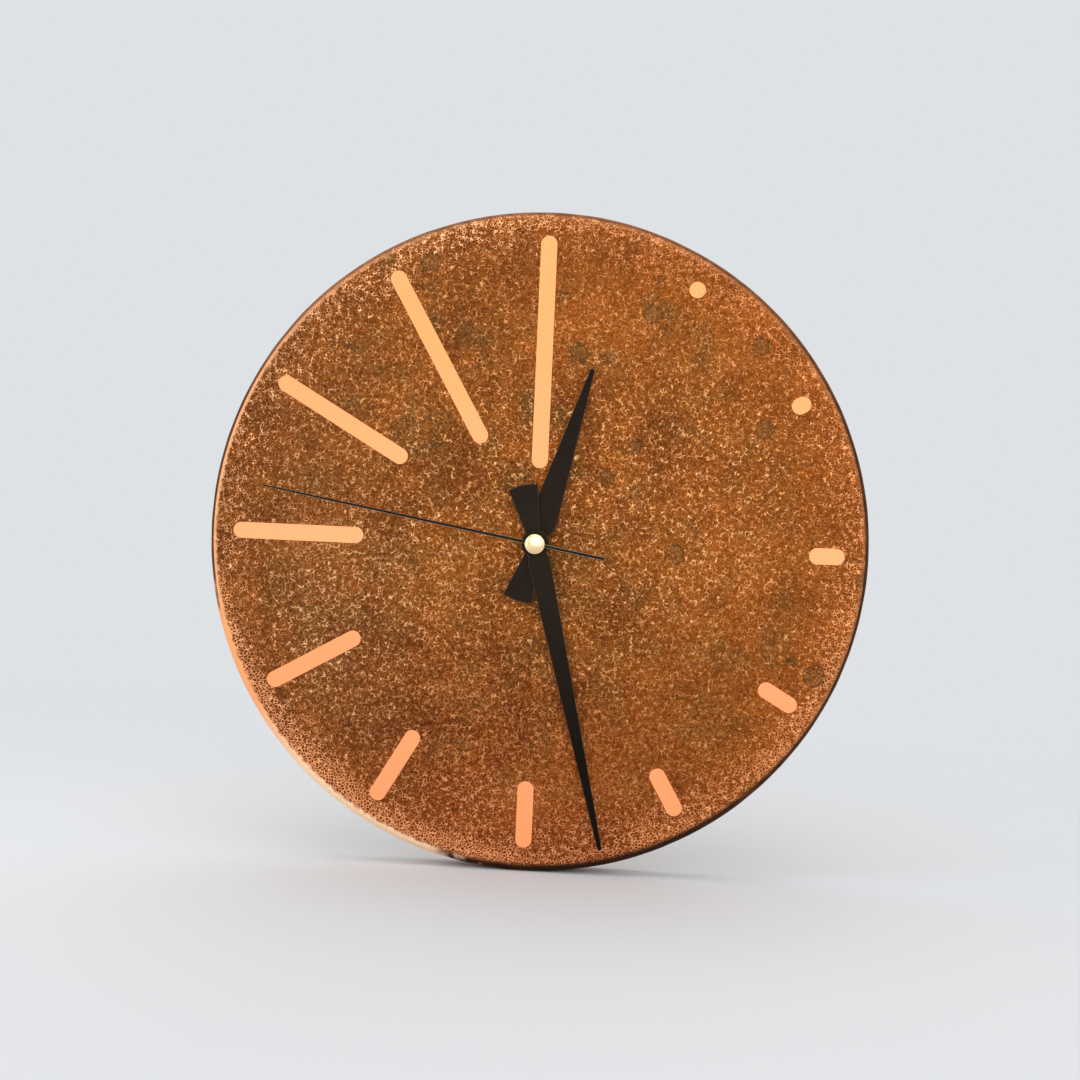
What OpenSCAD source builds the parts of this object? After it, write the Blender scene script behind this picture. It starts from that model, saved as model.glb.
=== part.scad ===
// Copper wall clock: a patinated copper face over a wooden board, with a battery movement behind it.
// The dial is drawn lying down with its front up, then stood up to face -Y with 12 o'clock at +Z.
// The origin is the middle of the hanger's round entrance, on the back face of the board.

/* [Dial] */
// Diameter over the copper rim
dial_d = 300; // [280:5:400]
// Thickness of the copper sheet
sheet_t = 0.7; // [0.5:0.1:1.2]
// Outer radius of the rounded front edge
edge_r = 4; // [3:0.5:8]
// Outer radius of the fold at the back
fold_r = 1.6; // [1.4:0.1:3]
// Width of the lip folded over the back of the board
lip_w = 8; // [5:1:15]
// Film of adhesive between sheet and board
bond_t = 0.1; // [0.05:0.05:0.2]

/* [Hour bars] */
// Lengths of the bars at 1, 2, 3 and on to 12 o'clock
bar_lengths = [7.5, 9, 16, 19.5, 23.5, 30.5, 37, 48, 60, 69, 87.5, 105];
// Width of every bar, which is also the diameter of the dot at 1 o'clock
bar_w = 7.5; // [5:0.5:8]
// Thickness of the bright copper bars
bar_t = 0.3; // [0.2:0.1:0.8]
// Distance from the rim to the outer ends of the bars
bar_margin = 11; // [6:0.5:20]

/* [Board] */
// Thickness of the wooden board
board_t = 18; // [16:1:24]
// Wood left between the movement pocket and the face
web_t = 3; // [2:0.5:5]
// Space around the movement in its pocket
pocket_gap = 1; // [0.5:0.25:3]
// Diameter of the hole for the bush through the board
board_hole_d = 10; // [9:0.5:12]

/* [Hanger] */
// Distance from the rim down to the entrance of the keyhole
hanger_drop = 58; // [50:1:70]
// Width of the hanger plate
plate_w = 16; // [14:1:20]
// Thickness of the hanger plate
plate_t = 1.2; // [1:0.1:2]
// Diameter of the keyhole's round entrance, which passes the head of a wall screw
keyhole_d = 9; // [8:0.5:10]
// Width of the keyhole's slot, which holds the shank of a wall screw
slot_w = 4.6; // [4:0.2:5]
// Height of the slot above the entrance
slot_rise = 9; // [7:0.5:12]
// Depth of the pocket for the wall screw's head
head_pocket_t = 9; // [6:0.5:12]
// Room round the keyhole in that pocket
head_pocket_gap = 1; // [0.5:0.25:1.5]
// Distance from the keyhole's ends to the hanger screws
screw_reach = 12; // [11:0.5:16]
// Shank diameter of the hanger screws
screw_d = 3.2; // [2.5:0.1:4]
// Head diameter of the hanger screws
screw_head_d = 6.4; // [5.5:0.1:7]
// Length of the hanger screws under the head
screw_l = 12; // [8:1:13]

/* [Wall bumpers] */
// Diameter of a rubber bumper
bumper_d = 12; // [8:1:16]
// Distance from the lip to a bumper
bumper_margin = 8; // [4:1:20]

/* [Clamping] */
// Outer diameter of the threaded bush
bush_d = 8; // [7.6:0.1:8.4]
// Thickness of the rubber gasket
gasket_t = 1; // [0.5:0.1:1.5]
// Outer diameter of the rubber gasket
gasket_d = 30; // [20:1:40]
// Thickness of the brass washer
washer_t = 0.6; // [0.4:0.1:1]
// Outer diameter of the brass washer
washer_d = 12; // [11:0.1:13]
// Thickness of the nut
nut_t = 2.2; // [1.8:0.1:3]
// Width of the nut across its flats
nut_af = 10.5; // [10:0.1:12]

/* [Battery] */
// Diameter of the AA cell
cell_d = 14.5; // [14:0.1:15]
// Length of the AA cell with its button
cell_l = 50.5; // [49:0.1:52]
// Diameter of the cell's button
button_d = 5.5; // [4:0.1:6]
// Height of the cell's button
button_h = 1.3; // [1:0.1:1.6]
// Clearance round the cell
cell_gap = 0.15; // [0.1:0.05:0.25]
// Room for a contact strip at each end of the cell
contact_room = 1.55; // [1.4:0.05:2]
// Thickness of the contact strips
strip_t = 0.4; // [0.3:0.05:0.5]
// Width of the contact strips
strip_w = 4; // [3:0.25:4.5]

/* [Movement] */
// Wall thickness of the movement case
case_wall = 1.2; // [1:0.1:1.3]
// Corner radius of the movement case
case_r = 4; // [2:0.5:6]
// Tooth module of the motion work
motion_m = 0.4; // [0.36:0.01:0.44]
// Tooth module of the centre wheel
centre_m = 0.295; // [0.27:0.005:0.32]
// Thickness of the motion wheels
motion_t = 1.2; // [1:0.05:1.25]
// Thickness of the going train's wheels
train_t = 1; // [0.8:0.05:1.05]
// Thickness of the train plate
train_plate_t = 1.2; // [1:0.05:1.3]
// Space between layers of wheels
layer_gap = 0.4; // [0.3:0.02:0.42]
// Running clearance of arbors in their holes
run_gap = 0.05; // [0.03:0.01:0.08]
// Diameter of the wheel arbors
arbor_d = 1.2; // [1:0.05:1.4]
// Diameter of the seconds arbor, which carries the second hand
seconds_d = 1.5; // [1.2:0.1:1.6]
// Outer diameter of the minute pipe
minute_d = 3.8; // [3.2:0.1:4]
// Outer diameter of the hour pipe
hour_d = 5.5; // [5:0.1:5.6]
// Wall of the hour pipe
hour_wall = 0.75; // [0.5:0.05:0.8]
// Diameter of the setting knob
knob_d = 10; // [8:0.5:11]
// Height of the setting knob
knob_h = 2.4; // [2:0.1:3]

/* [Hands] */
// Length of the hour hand from the centre
hour_l = 82.8; // [60:0.1:100]
// Distance from the rim to the tip of the minute hand
minute_margin = 8.5; // [5:0.5:30]
// Distance from the rim to the tip of the second hand
second_margin = 23.5; // [5:0.5:40]
// Length of the second hand's tail
second_tail = 32; // [20:1:45]
// Thickness of the hour and minute hands
hand_t = 0.5; // [0.4:0.05:0.8]
// Thickness of the second hand
second_t = 0.4; // [0.3:0.05:0.6]
// Radius of the fan-shaped tails
tail_r = 27; // [20:0.5:32]
// Largest half width of the hour hand
hour_half = 6.4; // [4:0.1:8]
// Largest half width of the minute hand
minute_half = 5; // [3:0.1:7]
// Half width of the hour and minute hands at the tip
tip_half = 1; // [0.5:0.1:1.5]
// Diameter of the hub under the hands
hub_d = 12.6; // [10:0.1:14]
// Diameter of the centre cap
cap_d = 9.5; // [7:0.1:12]
// Height of the centre cap
cap_h = 2.4; // [1.5:0.1:4]
// Hour hand's turn from 12 o'clock, clockwise
hour_angle = 15.7; // [0:0.1:360]
// Minute hand's turn from 12 o'clock, clockwise
minute_angle = 165.6; // [0:0.1:360]
// Second hand's turn from 12 o'clock, clockwise
second_angle = 279.6; // [0:0.1:360]

/* [Hidden] */
BARS = [for (h = [1:12]) str("hour_marker_", h)];
$fn = 64;
// Overlap of a cutting solid past the face that it cuts
cut = 0.5;
// Clearance of pieces that are pressed or screwed together
fit_gap = 0.02;
// Clearance of the gasket and washer round the bush, and of the hole in the copper face
washer_gap = 0.1;
face_hole_gap = 0.2;

// Dial, from the back of the board at z = 0 to the front of the sheet
dial_r = dial_d / 2;
sheet_z = board_t + bond_t;
face_z = sheet_z + sheet_t;
edge_c = dial_r - edge_r;
edge_z = face_z - edge_r;
fold_c = dial_r - fold_r;
fold_z = fold_r - sheet_t - bond_t;
board_r = dial_r - sheet_t - bond_t;

// Hanger
hanger_y = dial_r - hanger_drop;
lower_screw_y = hanger_y - screw_reach;
upper_screw_y = hanger_y + slot_rise + screw_reach;
// Depth of a countersink, which has sides at 45 degrees
countersink_t = (screw_head_d - screw_d) / 2;

// Teeth, in modules: height over and depth under the pitch circle, and share of the pitch
tip_wheel = 0.85;
tip_pinion = 0.6;
root_all = 1.15;
tooth_share = 0.4;
tip_share = 0.4;
cannon_n = 15;
minute_n = 45;
minute_pinion_n = 12;
hour_n = 48;
setting_n = 15;
seconds_pinion_n = 8;
third_n = 60;
third_pinion_n = 8;
centre_n = 64;
seconds_n = 48;
intermediate_pinion_n = 8;
intermediate_n = 40;
rotor_n = 8;

// Wheels: the two trains share the hand axis, and the other axes follow from their modules
arbor_gap = 0.35;
motion_c = motion_m * (hour_n + minute_pinion_n) / 2;
third_c = centre_m * (centre_n + third_pinion_n) / 2;
third_m = 2 * third_c / (third_n + seconds_pinion_n);
seconds_m = (third_c - arbor_d / 2 - arbor_gap) / (seconds_n / 2 + tip_wheel);
intermediate_c = seconds_m * (seconds_n + intermediate_pinion_n) / 2;
rotor_m = 0.25;
rotor_c = rotor_m * (intermediate_n + rotor_n) / 2;
hour_tip_r = motion_m * (hour_n / 2 + tip_wheel);
centre_tip_r = centre_m * (centre_n / 2 + tip_wheel);
third_tip_r = third_m * (third_n / 2 + tip_wheel);
setting_tip_r = motion_m * (setting_n / 2 + tip_pinion);

// Directions from one axis to the next, and the places that they give
minute_dir = 0;
setting_dir = 40;
third_dir = 180;
intermediate_dir = 90;
rotor_dir = 30;
minute_at = motion_c * [cos(minute_dir), sin(minute_dir)];
setting_at = minute_at + motion_c * [cos(setting_dir), sin(setting_dir)];
third_at = third_c * [cos(third_dir), sin(third_dir)];
intermediate_at = intermediate_c * [cos(intermediate_dir), sin(intermediate_dir)];
rotor_at = intermediate_at + rotor_c * [cos(rotor_dir), sin(rotor_dir)];

// Movement case: a square, as wide as the cell, the wheels beside it and the outer axes need
bay_wall = 1;
strip_gap = 0.2;
strip_seat = 0.1;
wheel_gap = 0.3;
setting_gap = 2;
strip_inset = 4.8;
strip_clear = 1.5;
wheel_r = max(hour_tip_r, centre_tip_r);
cell_need = cell_l / 2 + contact_room;
bay_need = wheel_r + wheel_gap + strip_t + strip_gap + bay_wall + cell_d + 2 * cell_gap;
setting_need = setting_at.x + setting_tip_r + setting_gap;
third_need = third_c + third_tip_r + strip_clear + strip_inset;
inner_h = max(cell_need, bay_need, setting_need, third_need);
case_h = inner_h + case_wall;
case_w = 2 * case_h;
case_depth = case_wall + cell_d + 2 * cell_gap;
case_z = board_t - web_t - gasket_t;
inner_z = case_z - case_wall;
rear_z = case_z - case_depth;
cover_t = 1.2;
cover_z = rear_z + cover_t;
cover_gap = 0.1;
cell_y = -inner_h + cell_gap + cell_d / 2;
cell_z = inner_z - cell_gap - cell_d / 2;
bay_y = cell_y + cell_d / 2 + cell_gap;
room_y = bay_y + bay_wall;
knob_gap = 0.2;
wall_gap = 0.6;
bumper_h = knob_gap + knob_h + wall_gap - rear_z;

// Layers of wheels, counted back from the front wall of the case
end_play = 0.3;
hour_z = inner_z - end_play - motion_t;
minute_z = hour_z - layer_gap - motion_t;
plate_play = 0.1;
plate_z = minute_z - layer_gap - plate_play - train_plate_t;
centre_z = plate_z - layer_gap - train_t;
third_z = centre_z - layer_gap - train_t;
seconds_z = third_z - layer_gap - train_t;
intermediate_z = seconds_z - layer_gap - train_t;
boss_z = intermediate_z - layer_gap;
pivot_floor = 0.4;
pivot_play = 0.1;
pivot_z = cover_z + pivot_floor;
pivot_l = 0.7;
boss_wall = 1.2;

// Turn of a gear that lies in direction dir from its partner, so that a gap faces each tooth
function mesh_turn(partner_n, partner_turn, n, dir) =
    dir + 180 + 180 / n + (dir - partner_turn) * partner_n / n;
minute_wheel_turn = mesh_turn(cannon_n, 0, minute_n, minute_dir);
minute_pinion_turn = mesh_turn(hour_n, 0, minute_pinion_n, minute_dir);
setting_gear_turn = mesh_turn(minute_n, minute_wheel_turn, setting_n, setting_dir);
third_wheel_turn = mesh_turn(seconds_pinion_n, 0, third_n, third_dir);
third_pinion_turn = mesh_turn(centre_n, 0, third_pinion_n, third_dir);
intermediate_pinion_turn = mesh_turn(seconds_n, 0, intermediate_pinion_n, intermediate_dir);
rotor_pinion_turn = mesh_turn(intermediate_n, 0, rotor_n, rotor_dir);

// Motor: a flat stator round the rotor, with two legs under the ends of the coil's core
magnet_r = 3;
magnet_gap = 0.4;
magnet_h = 3;
ring_wall = 0.8;
stator_t = 1;
stator_z = third_z;
stator_reach = 12.5;
leg_w = 4;
bar_below = 1.6;
bar_above = 3;
core_t = 1;
core_w = 3;
coil_r = 3.8;
coil_side = 0.6;
coil_l = 15;
flange_t = 1;
winding_r = 3.5;
bobbin_wall = 0.6;
coil_y = inner_h - coil_side - coil_r;
core_z = stator_z + stator_t;
pillar_r = 1.5;

// Circuit board and what sits on it, against the front wall of the case
pcb_t = 1;
pcb_margin = 1.2;
pcb_x = -inner_h + pcb_margin;
pcb_w = 16;
pcb_y = 12.4;
pcb_l = inner_h - pcb_y - pcb_margin;
pcb_z = inner_z - pcb_t;
chip_r = 3;
chip_t = 1.2;
crystal_r = 1;
crystal_l = 6;
chip_shift = 2;
crystal_inset = 2.5;
crystal_start = 1;
tab_w = 3;
tab_l = 2;

// Train plate, its posts and its screws
plate_gap = 1.1;
plate_margin = 2.3;
plate_clear = 0.5;
plate_over = 2;
train_x0 = -inner_h + strip_inset + strip_t + plate_gap;
train_x1 = inner_h - plate_margin;
train_y0 = room_y + strip_gap + strip_t + plate_clear;
train_y1 = rotor_at.y + plate_over;
post_r = 1.9;
post_inset = 2.5;
post_gap = 0.9;
posts = [
    [train_x0 + post_inset, train_y0 + post_inset],
    [train_x1 - post_inset, train_y0 + post_inset],
    [minute_at.x, train_y1 - post_inset],
    [train_x0 + post_inset, pcb_y - post_gap - post_r]
];
plate_screw_r = 0.8;
plate_screw_head_r = 1.7;
plate_screw_head_t = 1.2;
plate_screw_l = 4;

// Hands, counted forward from the nut
bush_end = 0.4;
bush_wall = 1.1;
bush_flange_r = 5.5;
bush_flange_t = 0.6;
bush_z = face_z + washer_t + nut_t + bush_end;
hand_gap = 0.4;
pipe_end = 0.3;
hour_collet_h = 1;
minute_collet_h = 1.4;
second_collet_h = 1.2;
collet_wall = 1.4;
second_collet_wall = 0.8;
hour_hand_z = bush_z + hand_gap + hour_collet_h;
hour_pipe_z = hour_hand_z + hand_t + pipe_end;
minute_hand_z = hour_pipe_z + hand_gap + minute_collet_h;
minute_pipe_z = minute_hand_z + hand_t + pipe_end;
second_hand_z = minute_pipe_z + hand_gap + second_collet_h;
minute_l = dial_r - minute_margin;
second_l = dial_r - second_margin;
second_half = 0.75;
second_tip_half = 0.4;
second_hub_r = 3;
hour_shoulder = 10.5;
minute_shoulder = 9.5;
shoulder_rise = 4;
shoulder_ease = 0.85;
tail_near = 2.4;
tail_spread = 0.1655;

// Radii of the nested centre pipes
seconds_r = seconds_d / 2;
minute_bore_r = seconds_r + 2 * run_gap;
minute_r = minute_d / 2;
hour_r = hour_d / 2;
hour_bore_r = hour_r - hour_wall;
sleeve_step = 0.3;
sleeve_r = minute_r - sleeve_step;
arbor_r = arbor_d / 2;
bush_r = bush_d / 2;
bush_bore_r = bush_r - bush_wall - run_gap;

module disc(r, z0, z1) {
    translate([0, 0, z0])
        cylinder(r = r, h = z1 - z0);
}

module block(x0, x1, y0, y1, z0, z1) {
    translate([x0, y0, z0])
        cube([x1 - x0, y1 - y0, z1 - z0]);
}

module at(place) {
    translate([place.x, place.y, 0])
        children();
}

module rounded_block(half, r, z0, z1) {
    block(-half, half, r - half, half - r, z0, z1);
    block(r - half, half - r, -half, half, z0, z1);
    for (x = [-1, 1], y = [-1, 1])
        at([x * (half - r), y * (half - r)])
            disc(r, z0, z1);
}

// A flat slot with round ends, from y0 to y1
module slot(w, y0, y1, z0, z1) {
    block(-w / 2, w / 2, y0, y1, z0, z1);
    for (y = [y0, y1])
        at([0, y])
            disc(w / 2, z0, z1);
}

// Corners of one tooth: radius over the pitch circle in modules, and share of the half tooth's angle
function tooth_corners(tip) = [
    [-root_all, -1], [0, -1], [tip, -tip_share], [tip, tip_share], [0, 1], [-root_all, 1]
];

function gear_points(n, m, tip) = [
    for (k = [0:n - 1], c = tooth_corners(tip))
        let (r = n * m / 2 + c[0] * m, a = 360 * k / n + c[1] * 180 * tooth_share / n)
            [r * cos(a), r * sin(a)]
];

module gear(n, m, tip, turn, z0, z1) {
    translate([0, 0, z0])
        rotate([0, 0, turn])
            linear_extrude(height = z1 - z0)
                polygon(gear_points(n, m, tip));
}

// Puts the dial upright, with the hanger's entrance at the origin
module stood_up() {
    rotate([90, 0, 0])
        translate([0, -hanger_y, 0])
            children();
}

module edge_sector(r, quarter) {
    rotate([0, 0, quarter])
        intersection() {
            difference() {
                circle(r = r);
                circle(r = r - sheet_t);
            }
            square(r + cut);
        }
}

module dial_face() {
    color("#8a5a34")
        rotate_extrude() {
            translate([bush_r + face_hole_gap, sheet_z])
                square([edge_c - bush_r - face_hole_gap, sheet_t]);
            translate([edge_c, edge_z])
                edge_sector(edge_r, 0);
            translate([dial_r - sheet_t, fold_z])
                square([sheet_t, edge_z - fold_z]);
            translate([fold_c, fold_z])
                edge_sector(fold_r, -90);
            translate([dial_r - lip_w, -bond_t - sheet_t])
                square([lip_w - fold_r, sheet_t]);
        }
}

module hour_marker(h) {
    outer_y = dial_r - bar_margin - bar_w / 2;
    inner_y = outer_y - (bar_lengths[h - 1] - bar_w);
    color("#f2b183")
        rotate([0, 0, -30 * h]) {
            if (inner_y < outer_y)
                slot(bar_w, inner_y, outer_y, face_z, face_z + bar_t);
            else
                at([0, outer_y])
                    disc(bar_w / 2, face_z, face_z + bar_t);
        }
}

module board_profile() {
    translate([0, fold_z])
        square([board_r, edge_z - fold_z]);
    square([fold_c, edge_z]);
    square([edge_c, board_t]);
    translate([edge_c, edge_z])
        circle(r = edge_r - sheet_t - bond_t);
    translate([fold_c, fold_z])
        circle(r = fold_r - sheet_t - bond_t);
}

module backing_board() {
    pocket_h = case_h + pocket_gap;
    color("#b08a5e")
        difference() {
            rotate_extrude()
                board_profile();
            rounded_block(pocket_h, case_r + pocket_gap, -cut, board_t - web_t);
            disc(board_hole_d / 2, 0, board_t + cut);
            slot(plate_w + 2 * fit_gap, lower_screw_y, upper_screw_y, -cut, plate_t);
            slot(keyhole_d + 2 * head_pocket_gap, hanger_y, hanger_y + slot_rise, 0, head_pocket_t);
            for (y = [lower_screw_y, upper_screw_y])
                at([0, y])
                    disc(screw_d / 2 + fit_gap, 0, countersink_t + screw_l + fit_gap);
            for (y = [lower_screw_y, upper_screw_y])
                at([0, y])
                    countersink(fit_gap);
        }
}

// The cone under a countersunk head, from the back face of the plate
module countersink(gap) {
    cylinder(r1 = screw_head_d / 2 + gap, r2 = screw_d / 2 + gap, h = countersink_t);
}

module hanger_plate() {
    color("#c9ccd0")
        difference() {
            slot(plate_w, lower_screw_y, upper_screw_y, 0, plate_t);
            at([0, hanger_y])
                disc(keyhole_d / 2, -cut, plate_t + cut);
            slot(slot_w, hanger_y, hanger_y + slot_rise, -cut, plate_t + cut);
            for (y = [lower_screw_y, upper_screw_y])
                at([0, y]) {
                    countersink(fit_gap);
                    disc(screw_d / 2 + fit_gap, -cut, plate_t + cut);
                }
        }
}

module hanger_screws() {
    point_l = screw_d;
    point_r = 0.2;
    recess_w = 0.9;
    recess_l = 3.6;
    recess_t = 1.2;
    color("#b9a25a")
        for (y = [lower_screw_y, upper_screw_y])
            at([0, y])
                difference() {
                    union() {
                        countersink(0);
                        disc(screw_d / 2, countersink_t, countersink_t + screw_l - point_l);
                        translate([0, 0, countersink_t + screw_l - point_l])
                            cylinder(r1 = screw_d / 2, r2 = point_r, h = point_l);
                    }
                    block(-recess_l / 2, recess_l / 2, -recess_w / 2, recess_w / 2, -cut, recess_t);
                    block(-recess_w / 2, recess_w / 2, -recess_l / 2, recess_l / 2, -cut, recess_t);
                }
}

module wall_bumpers() {
    bumper_r = bumper_d / 2;
    ease = 1;
    place_r = dial_r - lip_w - bumper_margin - bumper_r;
    color("#3a3a3a")
        for (a = [45:90:315])
            rotate([0, 0, a])
                translate([place_r, 0, -bumper_h]) {
                    cylinder(r1 = bumper_r - ease, r2 = bumper_r, h = ease);
                    disc(bumper_r, ease, bumper_h);
                }
}

module rubber_gasket() {
    color("#2b2b2b")
        difference() {
            disc(gasket_d / 2, case_z, case_z + gasket_t);
            disc(bush_r + washer_gap, case_z - cut, case_z + gasket_t + cut);
        }
}

module brass_washer() {
    color("#d1a94e")
        difference() {
            disc(washer_d / 2, face_z, face_z + washer_t);
            disc(bush_r + washer_gap, face_z - cut, face_z + washer_t + cut);
        }
}

module hex_nut() {
    z0 = face_z + washer_t;
    color("#d8b45c")
        difference() {
            translate([0, 0, z0])
                cylinder(r = nut_af / 2 / cos(30), h = nut_t, $fn = 6);
            disc(bush_r + fit_gap, z0 - cut, z0 + nut_t + cut);
        }
}

module threaded_bush() {
    color("#cfa650")
        difference() {
            union() {
                disc(bush_r, inner_z, bush_z);
                disc(bush_flange_r, inner_z, inner_z + bush_flange_t);
            }
            disc(bush_bore_r, inner_z - cut, bush_z + cut);
        }
}

module movement_case() {
    slot_x = inner_h - strip_t - 2 * strip_gap;
    color("#26282b") {
        difference() {
            rounded_block(case_h, case_r, rear_z, case_z);
            block(-inner_h, inner_h, room_y, inner_h, rear_z - cut, inner_z);
            block(-inner_h, inner_h, -inner_h, bay_y, rear_z - cut, inner_z);
            block(-case_w, case_w, bay_y, case_w, rear_z - cut, cover_z);
            for (x = [-inner_h, slot_x])
                block(x, x + inner_h - slot_x, bay_y - cut, room_y + cut,
                    cell_z - strip_w / 2 - strip_gap, cell_z + strip_w / 2 + strip_gap);
            disc(bush_r + fit_gap, inner_z - cut, case_z + cut);
            disc(bush_flange_r + fit_gap, inner_z - cut, inner_z + bush_flange_t + fit_gap);
            for (place = [minute_at, setting_at])
                at(place)
                    disc(arbor_r + run_gap, inner_z - cut, inner_z + pivot_l + pivot_play);
        }
        for (place = posts)
            at(place)
                difference() {
                    disc(post_r, plate_z + train_plate_t, inner_z);
                    disc(plate_screw_r + fit_gap, plate_z, plate_z + plate_screw_l + fit_gap);
                }
        for (side = [-1, 1])
            at([rotor_at.x + side * (stator_reach - leg_w / 2), coil_y])
                disc(pillar_r, core_z + core_t, inner_z);
    }
}

module movement_cover() {
    tongue_w = 6;
    tongue_h = 2;
    tongue_t = 1;
    tongue_x = inner_h - tongue_w;
    color("#34373b")
        difference() {
            union() {
                intersection() {
                    rounded_block(case_h, case_r, rear_z, cover_z);
                    block(-case_w, case_w, bay_y, case_w, rear_z - cut, cover_z + cut);
                }
                for (side = [-1, 1])
                    block(side * tongue_x - tongue_w / 2, side * tongue_x + tongue_w / 2,
                        inner_h - cover_gap - tongue_t, inner_h - cover_gap, cover_z, cover_z + tongue_h);
                for (place = [[0, 0], third_at, intermediate_at, rotor_at])
                    at(place)
                        disc(arbor_r + boss_wall, cover_z, boss_z);
            }
            for (place = [third_at, intermediate_at, rotor_at])
                at(place)
                    disc(arbor_r + run_gap, pivot_z - pivot_play, boss_z + cut);
            disc(seconds_r + run_gap, pivot_z - pivot_play, boss_z + cut);
            at(setting_at)
                disc(arbor_r + run_gap, rear_z - cut, cover_z + cut);
        }
}

module train_plate() {
    z1 = plate_z + train_plate_t;
    color("#d9d4c6")
        difference() {
            block(train_x0, train_x1, train_y0, train_y1, plate_z, z1);
            disc(minute_r, plate_z - cut, z1 + cut);
            for (place = [minute_at, setting_at, third_at, intermediate_at, rotor_at])
                at(place)
                    disc(arbor_r + run_gap, plate_z - cut, z1 + cut);
            for (place = posts)
                at(place)
                    disc(plate_screw_r + fit_gap, plate_z - cut, z1 + cut);
        }
}

module train_plate_screws() {
    color("#b9bcc0")
        for (place = posts)
            at(place) {
                disc(plate_screw_r, plate_z, plate_z + plate_screw_l);
                disc(plate_screw_head_r, plate_z - plate_screw_head_t, plate_z);
            }
}

module rotor() {
    color("#55585c")
        at(rotor_at) {
            disc(arbor_r, pivot_z, plate_z + pivot_l);
            gear(rotor_n, rotor_m, tip_pinion, rotor_pinion_turn, intermediate_z, intermediate_z + train_t);
            disc(magnet_r, stator_z + stator_t / 2 - magnet_h / 2, stator_z + stator_t / 2 + magnet_h / 2);
        }
}

module stator() {
    x = rotor_at.x;
    y0 = rotor_at.y - bar_below;
    y1 = coil_y + core_w / 2;
    z1 = stator_z + stator_t;
    color("#a9adb2")
        difference() {
            union() {
                block(x - stator_reach, x + stator_reach, y0, rotor_at.y + bar_above, stator_z, z1);
                for (x0 = [x - stator_reach, x + stator_reach - leg_w])
                    block(x0, x0 + leg_w, y0, y1, stator_z, z1);
                at(rotor_at)
                    disc(magnet_r + magnet_gap + ring_wall, stator_z, z1);
            }
            at(rotor_at)
                disc(magnet_r + magnet_gap, stator_z - cut, z1 + cut);
        }
}

module coil_core() {
    x = rotor_at.x;
    color("#a9adb2")
        block(x - stator_reach, x + stator_reach, coil_y - core_w / 2, coil_y + core_w / 2,
            core_z, core_z + core_t);
}

// A round bar along X through the middle of the coil
module coil_bar(r, x0, x1) {
    translate([rotor_at.x + x0, coil_y, core_z + core_t / 2])
        rotate([0, 90, 0])
            cylinder(r = r, h = x1 - x0);
}

module coil_bobbin() {
    end = coil_l / 2;
    hole_y = core_w / 2 + fit_gap;
    color("#efe9da")
        difference() {
            union() {
                coil_bar(core_w / 2 + bobbin_wall, -end, end);
                coil_bar(coil_r, -end, flange_t - end);
                coil_bar(coil_r, end - flange_t, end);
            }
            block(rotor_at.x - coil_l, rotor_at.x + coil_l, coil_y - hole_y, coil_y + hole_y,
                core_z - fit_gap, core_z + core_t + fit_gap);
        }
}

module coil_winding() {
    end = coil_l / 2 - flange_t - fit_gap;
    color("#b5622f")
        difference() {
            coil_bar(winding_r, -end, end);
            coil_bar(core_w / 2 + bobbin_wall + fit_gap, -end - cut, end + cut);
        }
}

module circuit_board() {
    color("#2f6b3a")
        block(pcb_x, pcb_x + pcb_w, pcb_y, pcb_y + pcb_l, pcb_z, inner_z);
}

module chip() {
    color("#151515")
        at([pcb_x + pcb_w / 2 + chip_shift, pcb_y + pcb_l / 2 + chip_shift])
            translate([0, 0, pcb_z - chip_t])
                cylinder(r1 = chip_r - chip_t / 2, r2 = chip_r, h = chip_t);
}

module quartz_crystal() {
    color("#cfd2d6")
        translate([pcb_x + pcb_w - crystal_inset, pcb_y + crystal_start, pcb_z - crystal_r - fit_gap])
            rotate([-90, 0, 0])
                cylinder(r = crystal_r, h = crystal_l);
}

// A raised dimple at the end of the cell; side is -1 at the button end
module contact_end(side) {
    x_wall = inner_h - strip_seat;
    x_cell = cell_l / 2 + strip_seat;
    dimple_r = 1;
    dimple_root_r = 1.6;
    z0 = cell_z - strip_w / 2;
    y1 = room_y + strip_gap + strip_t;
    mirror([side < 0 ? 1 : 0, 0, 0]) {
        block(x_wall - strip_t, x_wall, cell_y - strip_w / 2, y1, z0, z0 + strip_w);
        translate([x_cell, cell_y, cell_z])
            rotate([0, 90, 0])
                cylinder(r1 = dimple_r, r2 = dimple_root_r, h = x_wall - strip_t / 2 - x_cell);
    }
}

// A strip that runs up beside the train and folds over the edge of the circuit board
module contact_run(x, y0) {
    z0 = cell_z - strip_w / 2;
    y1 = pcb_y + tab_w;
    block(x, x + strip_t, y0, y1, z0, z0 + strip_w);
    block(x, x + strip_t, pcb_y, y1, z0, pcb_z);
    block(x, max(x, pcb_x) + tab_l, pcb_y, y1, pcb_z - strip_t, pcb_z);
}

module positive_contact() {
    color("#d6d2c4") {
        contact_end(-1);
        contact_run(strip_seat - inner_h, cell_y);
    }
}

module negative_contact() {
    z0 = cell_z - strip_w / 2;
    y0 = room_y + strip_gap;
    x0 = strip_inset - inner_h;
    color("#d6d2c4") {
        contact_end(1);
        block(x0, inner_h - strip_seat, y0, y0 + strip_t, z0, z0 + strip_w);
        contact_run(x0, y0);
    }
}

module battery() {
    color("#6f7a52")
        translate([-cell_l / 2, cell_y, cell_z])
            rotate([0, 90, 0]) {
                disc(button_d / 2, 0, button_h);
                disc(cell_d / 2, button_h, cell_l);
            }
}

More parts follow.
